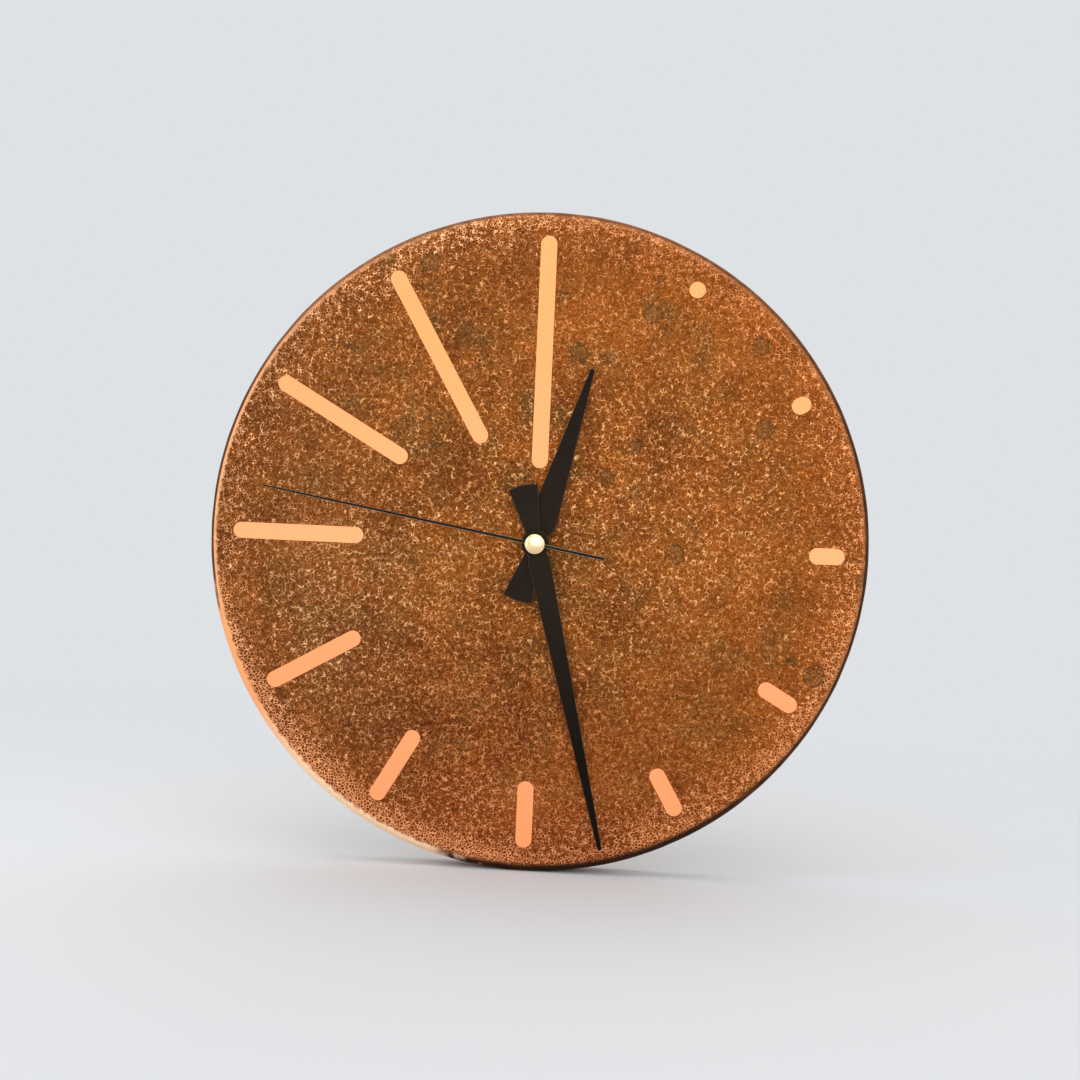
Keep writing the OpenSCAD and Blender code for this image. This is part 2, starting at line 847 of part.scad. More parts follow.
module intermediate_wheel() {
    z0 = intermediate_z;
    color("#f2efe6")
        at(intermediate_at) {
            disc(arbor_r, pivot_z, plate_z + pivot_l);
            gear(intermediate_n, rotor_m, tip_wheel, 0, z0, z0 + train_t);
            gear(intermediate_pinion_n, seconds_m, tip_pinion, intermediate_pinion_turn,
                z0 + train_t, seconds_z + train_t);
        }
}

module seconds_wheel() {
    color("#f2efe6") {
        disc(seconds_r, pivot_z, second_hand_z + second_t);
        gear(seconds_n, seconds_m, tip_wheel, 0, seconds_z, seconds_z + train_t);
        gear(seconds_pinion_n, third_m, tip_pinion, 0, seconds_z + train_t, third_z + train_t);
    }
}

module third_wheel() {
    color("#f2efe6")
        at(third_at) {
            disc(arbor_r, pivot_z, plate_z + pivot_l);
            gear(third_n, third_m, tip_wheel, third_wheel_turn, third_z, third_z + train_t);
            gear(third_pinion_n, centre_m, tip_pinion, third_pinion_turn,
                third_z + train_t, centre_z + train_t);
        }
}

module centre_wheel() {
    color("#e8e2d2")
        difference() {
            gear(centre_n, centre_m, tip_wheel, 0, centre_z, centre_z + train_t);
            disc(sleeve_r + run_gap, centre_z - cut, centre_z + train_t + cut);
        }
}

module minute_pipe() {
    sleeve_z = centre_z - layer_gap / 2;
    color("#cfa650")
        difference() {
            union() {
                disc(sleeve_r, sleeve_z, minute_z);
                gear(cannon_n, motion_m, tip_pinion, 0, minute_z, minute_z + motion_t);
                disc(minute_r, minute_z + motion_t, minute_pipe_z);
            }
            disc(minute_bore_r, sleeve_z - cut, minute_pipe_z + cut);
        }
}

module minute_wheel() {
    color("#f2efe6")
        at(minute_at) {
            disc(arbor_r, plate_z + 2 * pivot_play, inner_z + pivot_l);
            gear(minute_n, motion_m, tip_wheel, minute_wheel_turn, minute_z, minute_z + motion_t);
            gear(minute_pinion_n, motion_m, tip_pinion, minute_pinion_turn,
                minute_z + motion_t, hour_z + motion_t);
        }
}

module hour_wheel() {
    color("#f2efe6")
        difference() {
            union() {
                gear(hour_n, motion_m, tip_wheel, 0, hour_z, hour_z + motion_t);
                disc(hour_r, hour_z, hour_pipe_z);
            }
            disc(hour_bore_r, hour_z - cut, hour_pipe_z + cut);
        }
}

module setting_shaft() {
    color("#f2efe6")
        at(setting_at) {
            disc(arbor_r, rear_z - knob_gap - knob_h / 2, inner_z + pivot_l);
            gear(setting_n, motion_m, tip_pinion, setting_gear_turn, minute_z, minute_z + motion_t);
        }
}

module setting_knob() {
    knob_r = knob_d / 2;
    flutes = 20;
    flute_r = 0.5;
    z1 = rear_z - knob_gap;
    z0 = z1 - knob_h;
    color("#1d1e20")
        at(setting_at)
            difference() {
                disc(knob_r, z0, z1);
                disc(arbor_r + fit_gap, z1 - knob_h / 2 - fit_gap, z1 + cut);
                for (k = [0:flutes - 1])
                    rotate([0, 0, 360 * k / flutes])
                        translate([knob_r, 0, 0])
                            disc(flute_r, z0 - cut, z1 + cut);
            }
}

// A hand that points up: a tapered blade with a round tip, a hub and a fan-shaped tail
module hand_outline(l, half, shoulder) {
    tip_y = l - tip_half;
    neck_y = shoulder - shoulder_rise;
    polygon([
        [-half * shoulder_ease, neck_y], [-half, shoulder], [-tip_half, tip_y],
        [tip_half, tip_y], [half, shoulder], [half * shoulder_ease, neck_y], [0, 0]
    ]);
    translate([0, tip_y])
        circle(r = tip_half);
    circle(r = hub_d / 2);
    intersection() {
        circle(r = tail_r);
        polygon([
            [-tail_near, 0], [tail_near, 0],
            [tail_near + tail_spread * tail_r, -tail_r], [-tail_near - tail_spread * tail_r, -tail_r]
        ]);
    }
}

module pointed_hand(l, half, shoulder, angle, z, collet_h, pipe_r) {
    rotate([0, 0, -angle])
        difference() {
            union() {
                translate([0, 0, z])
                    linear_extrude(height = hand_t)
                        hand_outline(l, half, shoulder);
                disc(pipe_r + collet_wall, z - collet_h, z);
            }
            disc(pipe_r + fit_gap, z - collet_h - cut, z + hand_t + cut);
        }
}

module hour_hand() {
    color("#1c1a18")
        pointed_hand(hour_l, hour_half, hour_shoulder, hour_angle, hour_hand_z, hour_collet_h, hour_r);
}

module minute_hand() {
    color("#1c1a18")
        pointed_hand(minute_l, minute_half, minute_shoulder, minute_angle, minute_hand_z,
            minute_collet_h, minute_r);
}

module second_hand() {
    z = second_hand_z;
    color("#1c1a18")
        rotate([0, 0, -second_angle])
            difference() {
                union() {
                    translate([0, 0, z])
                        linear_extrude(height = second_t) {
                            polygon([
                                [-second_half, -second_tail], [second_half, -second_tail], [second_half, 0],
                                [second_tip_half, second_l], [-second_tip_half, second_l], [-second_half, 0]
                            ]);
                            circle(r = second_hub_r);
                        }
                    disc(seconds_r + second_collet_wall, z - second_collet_h, z);
                }
                disc(seconds_r + fit_gap, z - second_collet_h - cut, z + second_t + cut);
            }
}

module centre_cap() {
    cap_r = cap_d / 2;
    dome_r = (cap_r * cap_r + cap_h * cap_h) / (2 * cap_h);
    z0 = second_hand_z + second_t;
    color("#e6dcc6")
        rotate_extrude()
            intersection() {
                translate([0, z0 + cap_h - dome_r])
                    circle(r = dome_r);
                translate([0, z0])
                    square([cap_r, cap_h]);
            }
}

stood_up() {
    dial_face();
    backing_board();
    hanger_plate();
    hanger_screws();
    wall_bumpers();
    rubber_gasket();
    brass_washer();
    hex_nut();
    threaded_bush();
    movement_case();
    movement_cover();
    train_plate();
    train_plate_screws();
    rotor();
    stator();
    coil_core();
    coil_bobbin();
    coil_winding();
    circuit_board();
    chip();
    quartz_crystal();
    positive_contact();
    negative_contact();
    battery();
    intermediate_wheel();
    seconds_wheel();
    third_wheel();
    centre_wheel();
    minute_pipe();
    minute_wheel();
    hour_wheel();
    setting_shaft();
    setting_knob();
    hour_hand();
    minute_hand();
    second_hand();
    centre_cap();
    for (h = [1:12])
        hour_marker(h);
}
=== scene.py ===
# %% [markdown]
# A copper wall clock, dressed over its solids.
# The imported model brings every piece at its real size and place, in metres. This lesson gives each piece
# the finish of the real one: patinated copper, burnished bars, black hands, and the plain works at the
# back. Pieces that already have the right shape keep it, and pieces that need finer edges are made again
# here.

# %% Load the frame
import math
from functools import partial

import bmesh
import bpy
from mathutils import Matrix, Vector, noise


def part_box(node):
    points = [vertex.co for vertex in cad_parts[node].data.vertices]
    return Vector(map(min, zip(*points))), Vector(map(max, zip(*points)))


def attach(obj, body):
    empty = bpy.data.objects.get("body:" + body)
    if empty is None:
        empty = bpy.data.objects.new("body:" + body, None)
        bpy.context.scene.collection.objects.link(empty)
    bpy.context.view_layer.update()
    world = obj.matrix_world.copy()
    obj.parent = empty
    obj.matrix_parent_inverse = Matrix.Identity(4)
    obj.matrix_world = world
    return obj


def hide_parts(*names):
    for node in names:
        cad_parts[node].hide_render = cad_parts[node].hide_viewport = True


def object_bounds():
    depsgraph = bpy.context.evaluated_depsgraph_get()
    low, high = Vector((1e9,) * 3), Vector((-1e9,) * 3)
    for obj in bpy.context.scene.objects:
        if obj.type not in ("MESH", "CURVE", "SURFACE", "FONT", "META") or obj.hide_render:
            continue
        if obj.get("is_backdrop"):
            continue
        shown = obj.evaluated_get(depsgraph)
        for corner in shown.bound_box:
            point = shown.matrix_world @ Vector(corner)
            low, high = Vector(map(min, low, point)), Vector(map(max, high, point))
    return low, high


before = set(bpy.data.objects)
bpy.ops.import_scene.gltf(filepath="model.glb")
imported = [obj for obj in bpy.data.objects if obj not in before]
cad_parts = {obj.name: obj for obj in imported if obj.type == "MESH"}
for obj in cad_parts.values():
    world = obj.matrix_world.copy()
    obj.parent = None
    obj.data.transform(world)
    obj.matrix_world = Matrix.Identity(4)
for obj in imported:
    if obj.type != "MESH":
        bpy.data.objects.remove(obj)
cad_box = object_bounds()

# %% [markdown]
# Everything on a clock hangs from one line: the axis of the hands. It runs along Y through the middle of
# the dial, and the dial faces -Y. The places below come from the frame, so a new model.glb moves the
# dressing with it.

# %% Measure the dial
MM = 0.001
face_lo, face_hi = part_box("dial_face")
DIAL_R = (face_hi.x - face_lo.x) / 2
AXIS_Z = (face_hi.z + face_lo.z) / 2
FRONT_Y = face_lo.y
BACK_Y = face_hi.y
DIAL_CENTRE = Vector((0, FRONT_Y, AXIS_Z))
FLOOR_Z = face_lo.z
print("dial", round(2 * DIAL_R / MM, 1), "mm across, front at y", round(FRONT_Y / MM, 2), "mm")

# %% [markdown]
# The camera comes first, because every later choice is judged through it. The photograph was taken from a
# little to the right of the dial and a little above it. The dial stands turned by a couple of degrees,
# which is given to the camera as roll, because the part itself stays upright in its own frame.

# %% Camera
AZIMUTH = math.radians(3.5)
ELEVATION = math.radians(2.0)
ROLL = math.radians(2.5)
FIELD = math.radians(30.0)
# The dial's radius in the photograph and the frame's side, in pixels
DIAL_PX = 330.8
FRAME_PX = 1080
# How far the camera stands to the right of the dial's axis and above it, once it is aimed
ASIDE = 1.6 * MM
ABOVE = 1.6 * MM


def linked(name, data):
    """A new object in the scene around this data."""
    holder = bpy.data.objects.new(name, data)
    bpy.context.scene.collection.objects.link(holder)
    return holder


reach = DIAL_R * (FRAME_PX / 2) / math.tan(FIELD / 2) / DIAL_PX
level = math.cos(ELEVATION)
towards = Vector((math.sin(AZIMUTH) * level, -math.cos(AZIMUTH) * level, math.sin(ELEVATION)))
camera = linked("camera", bpy.data.cameras.new("camera"))
bpy.context.scene.camera = camera
camera.data.angle = FIELD
camera.data.clip_start = 0.01
camera.location = DIAL_CENTRE + Vector((ASIDE, 0, ABOVE)) + towards * reach
camera.rotation_euler = (-towards).to_track_quat("-Z", "Y").to_euler()
camera.rotation_euler.rotate_axis("Z", ROLL)
print("camera", round(reach, 3), "m from the dial")

# %% [markdown]
# Colours are written as sRGB hex values, the way a paint chart gives them, and one function turns them to
# the linear values that Blender's nodes take. One more function adds a node, sets its fields and fills
# its sockets from plain values or from other nodes' outputs. Most nodes here are shader nodes, so their
# kind is written without that word. Each material and tree binds the function to itself under the name
# add, and then reads as a list of its layers.

# %% Helpers for colours and nodes
def srgb(code):
    """The linear colour of an sRGB hex value."""
    parts = [int(code[i:i + 2], 16) / 255 for i in (1, 3, 5)]
    return [*(p / 12.92 if p <= 0.04045 else ((p + 0.055) / 1.055) ** 2.4 for p in parts), 1.0]


def fill(node, sockets):
    """Fills a node's sockets, by name or by place, from plain values or other nodes' outputs."""
    for key, value in sockets.items() if isinstance(sockets, dict) else enumerate(sockets):
        if isinstance(value, bpy.types.NodeSocket):
            node.id_data.links.new(value, node.inputs[key])
        else:
            node.inputs[key].default_value = value


def add_node(tree, kind, sockets=(), take=0, stops=(), **settings):
    """Adds a node with its settings, stops and sockets. Gives back one output, or all where take is None."""
    node = tree.nodes.new(kind if "Node" in kind else "ShaderNode" + kind)
    for name, value in settings.items():
        setattr(node, name, value)
    for place, (at, code) in enumerate(stops):
        if place > 1:
            node.color_ramp.elements.new(at)
        node.color_ramp.elements[place].position = at
        node.color_ramp.elements[place].color = srgb(code)
    fill(node, sockets)
    return node.outputs if take is None else node.outputs[take]


print("helpers for colours and nodes ready")

# %% [markdown]
# A material starts as a shader, an output and the piece's own coordinates. Some settings return in every
# material: a product, a product plus a third value, the larger of two values, an S-shaped step and a mix
# of colours. They get names here. Textures are sized in millimetres, so that a grain can be compared with
# a ruler.

# %% Helpers for materials
TIMES = {"operation": "MULTIPLY"}
TIMES_PLUS = {"operation": "MULTIPLY_ADD"}
LARGER = {"operation": "MAXIMUM"}
SMOOTH = {"interpolation_type": "SMOOTHSTEP"}
COLOUR = {"data_type": "RGBA", "take": 2}


def new_material(name):
    """An empty material, the function that adds to it, its shader and its Object coordinates."""
    material = bpy.data.materials.new(name)
    material.use_nodes = True
    tree = material.node_tree
    tree.nodes.clear()
    add = partial(add_node, tree)
    shader = add("BsdfPrincipled")
    add("OutputMaterial", [shader], take=None)
    return material, add, shader.node, add("TexCoord", take="Object")


def per_mm(size):
    """The texture scale at which one cell or wave is this many millimetres."""
    return 1 / (size * MM)


print("helpers ready")

# %% [markdown]
# The stage is a plain pale floor that fades into a pale surround, so that no edge shows from any side.
# The surround is what the camera and the metal see, and a weaker light of the same tone fills the
# shadows. The Light Path node tells the two apart.

# %% Surround
world = bpy.data.worlds.new("pale studio")
bpy.context.scene.world = world
world.use_nodes = True
world.node_tree.nodes.clear()
add = partial(add_node, world.node_tree)
ray = add("LightPath", take=None)
seen = add("Math", [ray["Is Camera Ray"], ray["Is Glossy Ray"]], **LARGER)
seen = add("Math", [seen, ray["Is Transmission Ray"]], **LARGER)
fill_light = add("Background", {"Color": srgb("#F4F5F7"), "Strength": 0.5})
surround = add("Background", {"Color": srgb("#DFE2E5"), "Strength": 1.0})
both = add("MixShader", [seen, fill_light, surround])
add("OutputWorld", [both], take=None)
print("world", world.name)

# %% [markdown]
# The floor is a disc of matt paper. A plane with a visible border would do for one view, but the part is
# looked at from all sides, so the paper thins out with the distance until only the surround is left.

# %% Floor
FLOOR_REACH = 0.8
FLOOR_SOLID = 0.2

# Matt paper: an even pale grey without gloss
paper, add, shader, place = new_material("matt studio paper")
away = add("VectorMath", [place], take="Value", operation="LENGTH")
fade = add("MapRange", [away, FLOOR_SOLID, FLOOR_REACH, 1.0, 0.0], **SMOOTH)
fill(shader, {"Base Color": srgb("#DFE1E3"), "Roughness": 0.9, "Specular IOR Level": 0.2, "Alpha": fade})

disc = bmesh.new()
bmesh.ops.create_circle(disc, cap_ends=True, segments=96, radius=FLOOR_REACH)
floor_mesh = bpy.data.meshes.new("floor")
disc.to_mesh(floor_mesh)
disc.free()
floor_mesh.materials.append(paper)
floor = linked("floor", floor_mesh)
floor.location = (0, 0, FLOOR_Z)
floor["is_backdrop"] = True
print("stage: floor at z", round(FLOOR_Z, 4))

# %% [markdown]
# A large soft lamp stands in front of the dial. One hangs above and whitens the floor, which the lower
# rim mirrors. One at the left grazes the dial and lays the shadow to the right, and a weak one lights the
# back. All are rectangles, because their mirror images on metal then look like studio light. The camera
# doesn't see them.

# %% Lamps
def soft_lamp(name, at, size, power):
    """A rectangular lamp at a place, facing the middle of the dial."""
    lamp = bpy.data.lights.new(name, "AREA")
    lamp.shape = "RECTANGLE"
    lamp.size, lamp.size_y = size
    lamp.energy = power
    holder = linked(name, lamp)
    holder.location = at
    holder.rotation_euler = (DIAL_CENTRE - Vector(at)).to_track_quat("-Z", "Y").to_euler()
    holder.visible_camera = False
    print(name, power, "W")


soft_lamp("front softbox", (0.15, -1.50, 0.38), (1.8, 1.3), 13.6)
soft_lamp("top softbox", (-0.15, -0.05, 1.15), (1.6, 1.2), 8.0)
soft_lamp("left softbox", (-1.20, -0.40, 0.10), (1.20, 1.20), 5.0)
soft_lamp("rear softbox", (0.30, 1.50, 0.45), (1.8, 1.3), 8.0)
bpy.context.scene.view_settings.view_transform = "Standard"

# %% [markdown]
# The face is copper sheet that was salted, fumed and heated until a brown oxide grew over it. The oxide
# forms small cells, and bare copper shows between them as a broken net of fine bright veins. A picture
# could be projected here, but a rule scales and turns with the part, so the finish is built up from
# textures on the piece's own coordinates. It first needs the place on the dial: the distance from the
# axis, the height, the depth, and how far a point lies towards the lower left and the lower right, where
# the rim is handled most.

# %% Patina: the place on the dial
# Patinated copper: dull brown oxide in small cells, with a broken net of bright veins between them
PATINA, add, shader, place = new_material("patinated copper")
centred = add("Mapping", {"Vector": place, "Location": (0, 0, -AXIS_Z)})
across, depth, height = add("SeparateXYZ", [centred], take=None)
flat = add("VectorMath", [centred, (1, 0, 1)], **TIMES)
radius = add("VectorMath", [flat], take="Value", operation="LENGTH")
slant = math.sqrt(0.5)
lower_left, lower_right = (
    add("VectorMath", [flat, (side * slant, 0, -slant)], take="Value", operation="DOT_PRODUCT")
    for side in (-1, 1))
print("started", PATINA.name)

# %% [markdown]
# Slow clouds tint the oxide, stains darken it, patches open or shut the net, grit breaks it up and dust
# gives it grain. Each is a noise of its own real size, shifted so that no two of them line up.

# %% Patina: clouds, stains, patches, grit and dust
MOTTLE = {"cloud": (30.0, 3.0, (0, 0, 0)),
          "stain": (15.0, 3.0, (0.07, 0.13, 0.41)),
          "patch": (8.0, 3.0, (0.31, 0.17, 0.23)),
          "grit": (2.4, 2.0, (0.11, 0.05, 0.07)),
          "dust": (0.9, 2.0, (0.02, 0.03, 0.01))}
mottle = []
for size, detail, shift in MOTTLE.values():
    moved = add("Mapping", {"Vector": place, "Location": shift})
    look = {"Vector": moved, "Scale": per_mm(size), "Detail": detail, "Roughness": 0.55}
    mottle.append(add("TexNoise", look))
cloud, stain, patch, grit, dust = mottle
print("mottled with", ", ".join(MOTTLE))

# %% [markdown]
# The net between the oxide cells is the distance to the borders of a Voronoi pattern. Straight borders
# look like cracked glass, so the coordinates are bent by noise first. A finer net of the same kind lies
# under it as threads, and it takes over towards the rim, where the cells are smallest.

# %% Patina: the net
CELL_MM = 1.75
THREAD_NET_MM = 1.3
BEND_MM = 0.9
BEND_WAVE_MM = 3.2

bend = {"Vector": place, "Scale": per_mm(BEND_WAVE_MM), "Detail": 3.0}
bend = add("TexNoise", bend, take="Color")
bend = add("VectorMath", [bend, (0.5, 0.5, 0.5)], operation="SUBTRACT")
bent = add("VectorMath", [bend, (2 * BEND_MM * MM,) * 3, place], **TIMES_PLUS)
cells = {"Vector": bent, "Scale": per_mm(CELL_MM)}
finer = {"Vector": bent, "Scale": per_mm(THREAD_NET_MM)}
border = add("TexVoronoi", cells, feature="DISTANCE_TO_EDGE")
fine_border = add("TexVoronoi", finer, feature="DISTANCE_TO_EDGE")
tone = add("SeparateColor", [add("TexVoronoi", cells, take="Color")])
to_rim = add("MapRange", [radius, 0.116, 0.136], **SMOOTH)
off_rim = add("Math", [1.0, to_rim], operation="SUBTRACT")
border = add("Mix", {0: to_rim, 2: border, 3: fine_border})
print("net of", CELL_MM, "mm cells")

# %% [markdown]
# Rubbing wears the oxide off the borders first, so a rubbed place has wider veins and more of them. The
# rim is rubbed most at the lower left and left of the foot, less at the lower right and the top, and
# hardly at the left. Each row below is a Map Range: what it follows, where it starts and ends, in metres
# where it follows a place, and the two values that it gives there, which are 0 and 1 where none are
# written.

# %% Patina: rubbed places
lean = add("Math", [lower_left, 0.5, radius], **TIMES_PLUS)
rows = ([lean, 0.199, 0.217],                   # held by hands, at the lower left
        [lower_right, 0.06, 0.15, 0.1, 0.5],    # half as much at the lower right
        [height, 0.11, 0.148, 0.0, 0.35],       # a third at the top
        [height, -0.09, -0.13],                 # the foot,
        [across, 0.02, -0.03],                  # but only left of its middle
        [radius, 0.134, 0.147],                 # all of these only near the rim
        [cloud, 0.25, 0.65, 0.55, 1.0])         # and unevenly, cloud by cloud
rows = [add("MapRange", row, **SMOOTH) for row in rows]
gripped, right_side, crown, base, left_of_foot, along_rim, uneven = rows
base = add("Math", [base, left_of_foot], **TIMES)
sides = add("Math", [right_side, crown], **LARGER)
sides = add("Math", [sides, base], **LARGER)
along_rim = add("Math", [along_rim, sides], **TIMES)
rubbed = add("Math", [gripped, along_rim], **LARGER)
rubbed = add("Math", [rubbed, uneven], **TIMES)
print("rubbed in", len(rows), "steps")

# %% [markdown]
# Two fields are calmer, with a quieter net and more rust: one at the top, right of the middle, and one at
# the lower right that ends before the rim. The same kind of rows makes them, and also the lowest part of
# the dial, which later gets a few more veins and redder tones.

# %% Patina: calm fields
rows = ([height, 0.05, 0.09],           # the top,
        [across, -0.03, 0.01],          # right of the middle
        [lower_right, 0.06, 0.085],     # the lower right
        [height, -0.075, -0.13])        # the lowest part
calm_top, from_left, calm_low, lowest = (add("MapRange", row, **SMOOTH) for row in rows)
calm_top = add("Math", [calm_top, from_left], **TIMES)
calm_low = add("Math", [calm_low, off_rim], **TIMES)
calm = add("Math", [calm_top, calm_low], **LARGER)
print("two calm fields")

# %% [markdown]
# A vein is where the border is nearer than the vein's width, which grit varies and rubbing adds to. Not
# every border is bare: a sum of grit, patches, rubbing and clouds opens the net in some places and shuts
# it in others. The finer threads show only where the dust is thin.

# %% Patina: bare veins
width = add("MapRange", [grit, 0.35, 0.75, 0.05, 0.15])
width = add("Math", [rubbed, 0.10, width], **TIMES_PLUS)
narrow = add("Math", [width, 0.25], **TIMES)
vein = add("MapRange", [border, width, narrow], **SMOOTH)
opened = grit
for part, share in ((patch, 0.34), (rubbed, 0.3), (cloud, 0.14), (lowest, 0.04)):
    opened = add("Math", [part, share, opened], **TIMES_PLUS)
opened = add("MapRange", [opened, 0.655, 0.895], **SMOOTH)
quiet = add("MapRange", [calm, 0.0, 1.0, 0.94, 0.74])
for share in (opened, quiet):
    vein = add("Math", [vein, share], **TIMES)
thread = add("MapRange", [fine_border, 0.20, 0.04], **SMOOTH)
dustless = add("MapRange", [dust, 0.46, 0.66, 0.0, 0.55], **SMOOTH)
thread = add("Math", [thread, dustless], **TIMES)
print("veins and threads")

# %% [markdown]
# Here and there in the upper right a drop of the salt solution dried and left a ragged pool with a darker
# outline. Another Voronoi pattern places the drops, and its cell colours pick half of them and vary their
# sizes.

# %% Patina: dried drops
DROP_MM = 17.0
drop = add("TexVoronoi", {"Vector": bent, "Scale": per_mm(DROP_MM)}, take=None)
lot, size, _ = add("SeparateColor", [drop["Color"]], take=None)
picked = add("MapRange", [lot, 0.48, 0.52], **SMOOTH)
upper_right = add("MapRange", [lower_left, -0.02, -0.05], **SMOOTH)
picked = add("Math", [picked, upper_right], **TIMES)
size = add("MapRange", [size, 0.0, 1.0, 0.5, 1.1])
spread = add("Math", [drop["Distance"], size], operation="DIVIDE")
spread = add("Math", [grit, 0.28, spread], **TIMES_PLUS)
pool = add("MapRange", [spread, 0.43, 0.38], **SMOOTH)
pool = add("Math", [pool, picked], **TIMES)
outline = add("MapRange", [spread, 0.31, 0.38], **SMOOTH)
outline = add("Math", [outline, pool], **TIMES)
print("drops about", DROP_MM, "mm apart")

# %% [markdown]
# The oxide is brown, darker or lighter with clouds and patches, and lighter towards the upper right. Over
# it lie other tones, each in its place: umber at the left, burnt red at the foot, rust at the right and
# in the calm fields, olive and moss in the stains, and ash in the dried drops.

# %% Patina: oxide colours
lighter = add("Math", [across, 0.9, height], **TIMES_PLUS)
tint = add("Math", [lighter, 0.3, cloud], **TIMES_PLUS)
tint = add("Math", [patch, 0.28, tint], **TIMES_PLUS)
stops = [(0.475, "#6E3604"), (0.605, "#7C3E05"), (0.695, "#884506"), (0.855, "#964D08")]
oxide = add("ValToRGB", [tint], stops=stops)
aside = add("Math", [across], operation="ABSOLUTE")
rows = ([across, -0.02, -0.13, 0.0, 0.40],      # umber towards the left
        [height, -0.02, -0.11, 0.0, 0.75],      # burnt red towards the foot,
        [aside, 0.10, 0.02, 0.3, 1.0],          # most of it under the middle
        [across, 0.04, 0.10, 0.0, 0.4],         # rust at the right
        [stain, 0.58, 0.70, 0.0, 0.2],          # and between the stains
        [stain, 0.52, 0.42, 0.0, 0.22],         # olive in the stains
        [stain, 0.42, 0.32, 0.0, 0.5],          # moss where they are deepest,
        [height, -0.02, 0.05, 0.4, 1.0])        # more of it in the upper half
rows = [add("MapRange", row, **SMOOTH) for row in rows]
at_left, at_foot, middle, at_right, rusted, greened, stained, upper = rows
print("oxide colours on", len(stops), "stops, with", len(rows), "places for other tones")

# %% [markdown]
# The shares are joined to one mask for each tone, and the tones are then mixed over the brown one by one,
# the way washes of colour are laid over each other.

# %% Patina: tones over the oxide
inside = add("MapRange", [to_rim, 0.0, 1.0, 1.0, 0.4])
at_left = add("Math", [at_left, inside], **TIMES)
at_foot = add("Math", [at_foot, middle], **TIMES)
greened = add("Math", [greened, off_rim], **TIMES)
pooled = add("Math", [pool, 0.42], **TIMES)
for share in (upper, off_rim):
    stained = add("Math", [stained, share], **TIMES)
glowed = add("Math", [calm, 0.35], **TIMES)
for share in (at_right, rusted):
    glowed = add("Math", [glowed, share], **LARGER)
burnt = add("ValToRGB", [lowest], stops=[(0.0, "#5A2100"), (1.0, "#7C3200")])
umber, rust, olive = srgb("#704319"), srgb("#A0500A"), srgb("#74501A")
moss, ash = srgb("#4E3A14"), srgb("#5E4A22")
for share, over in ((at_left, umber), (at_foot, burnt), (glowed, rust),
                    (greened, olive), (stained, moss), (pooled, ash)):
    oxide = add("Mix", {0: share, 6: oxide, 7: over}, **COLOUR)
print("six tones laid over the oxide")

# %% [markdown]
# Close up no two oxide cells are alike. Each cell has its own brightness from its Voronoi colour, dust
# darkens it in specks, the dried drops get their dark outlines, and the threads are drawn in a dull
# copper.

# %% Patina: grain of the oxide
shade = add("MapRange", [tone, 0.0, 1.0, 0.82, 1.16])
deepest = add("MapRange", [to_rim, 0.0, 1.0, 0.66, 0.60])
dusty = add("MapRange", [dust, 0.28, 0.55, deepest, 1.06], **SMOOTH)
ringed = add("MapRange", [outline, 0.0, 1.0, 1.0, 0.7])
for share in (dusty, ringed):
    shade = add("Math", [shade, share], **TIMES)
oxide = add("VectorMath", {0: oxide, "Scale": shade}, operation="SCALE")
oxide = add("Mix", {0: thread, 6: oxide, 7: srgb("#B97B4A")}, **COLOUR)
print("oxide grained cell by cell")

# %% [markdown]
# The bare copper isn't one colour either. Specks of dust run through it, it is pale at the left, dull at
# the upper left, red at the foot, and warmest along the rim, where it was rubbed last.

# %% Patina: bare copper in the veins
stops = [(0.30, "#AE6E38"), (0.50, "#D09054"), (0.70, "#F2BF8A")]
copper = add("ValToRGB", [dust], stops=stops)
low_left = add("MapRange", [height, 0.02, 0.07, 1.0, 0.25], **SMOOTH)
low_left = add("Math", [at_left, low_left], **TIMES)
high_left = add("MapRange", [lower_right, -0.03, -0.09, 0.0, 0.55], **SMOOTH)
high_left = add("Math", [high_left, off_rim], **TIMES)
red = add("ValToRGB", [lowest], stops=[(0.5, "#C67642"), (1.0, "#F0A472")])
warm_rim = add("Math", [to_rim, 0.5], **TIMES)
held = add("Math", [gripped, 0.7], **TIMES)
warm_rim = add("Math", [warm_rim, held], **LARGER)
glow = add("MapRange", [lower_right, -0.13, -0.07])
glow = add("ValToRGB", [glow], stops=[(0.0, "#FFC296"), (1.0, "#F8A270")])
pale, dull = srgb("#FFD6AE"), srgb("#B87440")
for share, over in ((low_left, pale), (high_left, dull), (at_foot, red), (warm_rim, glow)):
    copper = add("Mix", {0: share, 6: copper, 7: over}, **COLOUR)
kept = add("MapRange", [pool, 0.0, 1.0, 1.0, 0.25])
bare = add("Math", [vein, kept], **TIMES)
colour = add("Mix", {0: bare, 6: oxide, 7: copper}, **COLOUR)
print("veins laid over the oxide")
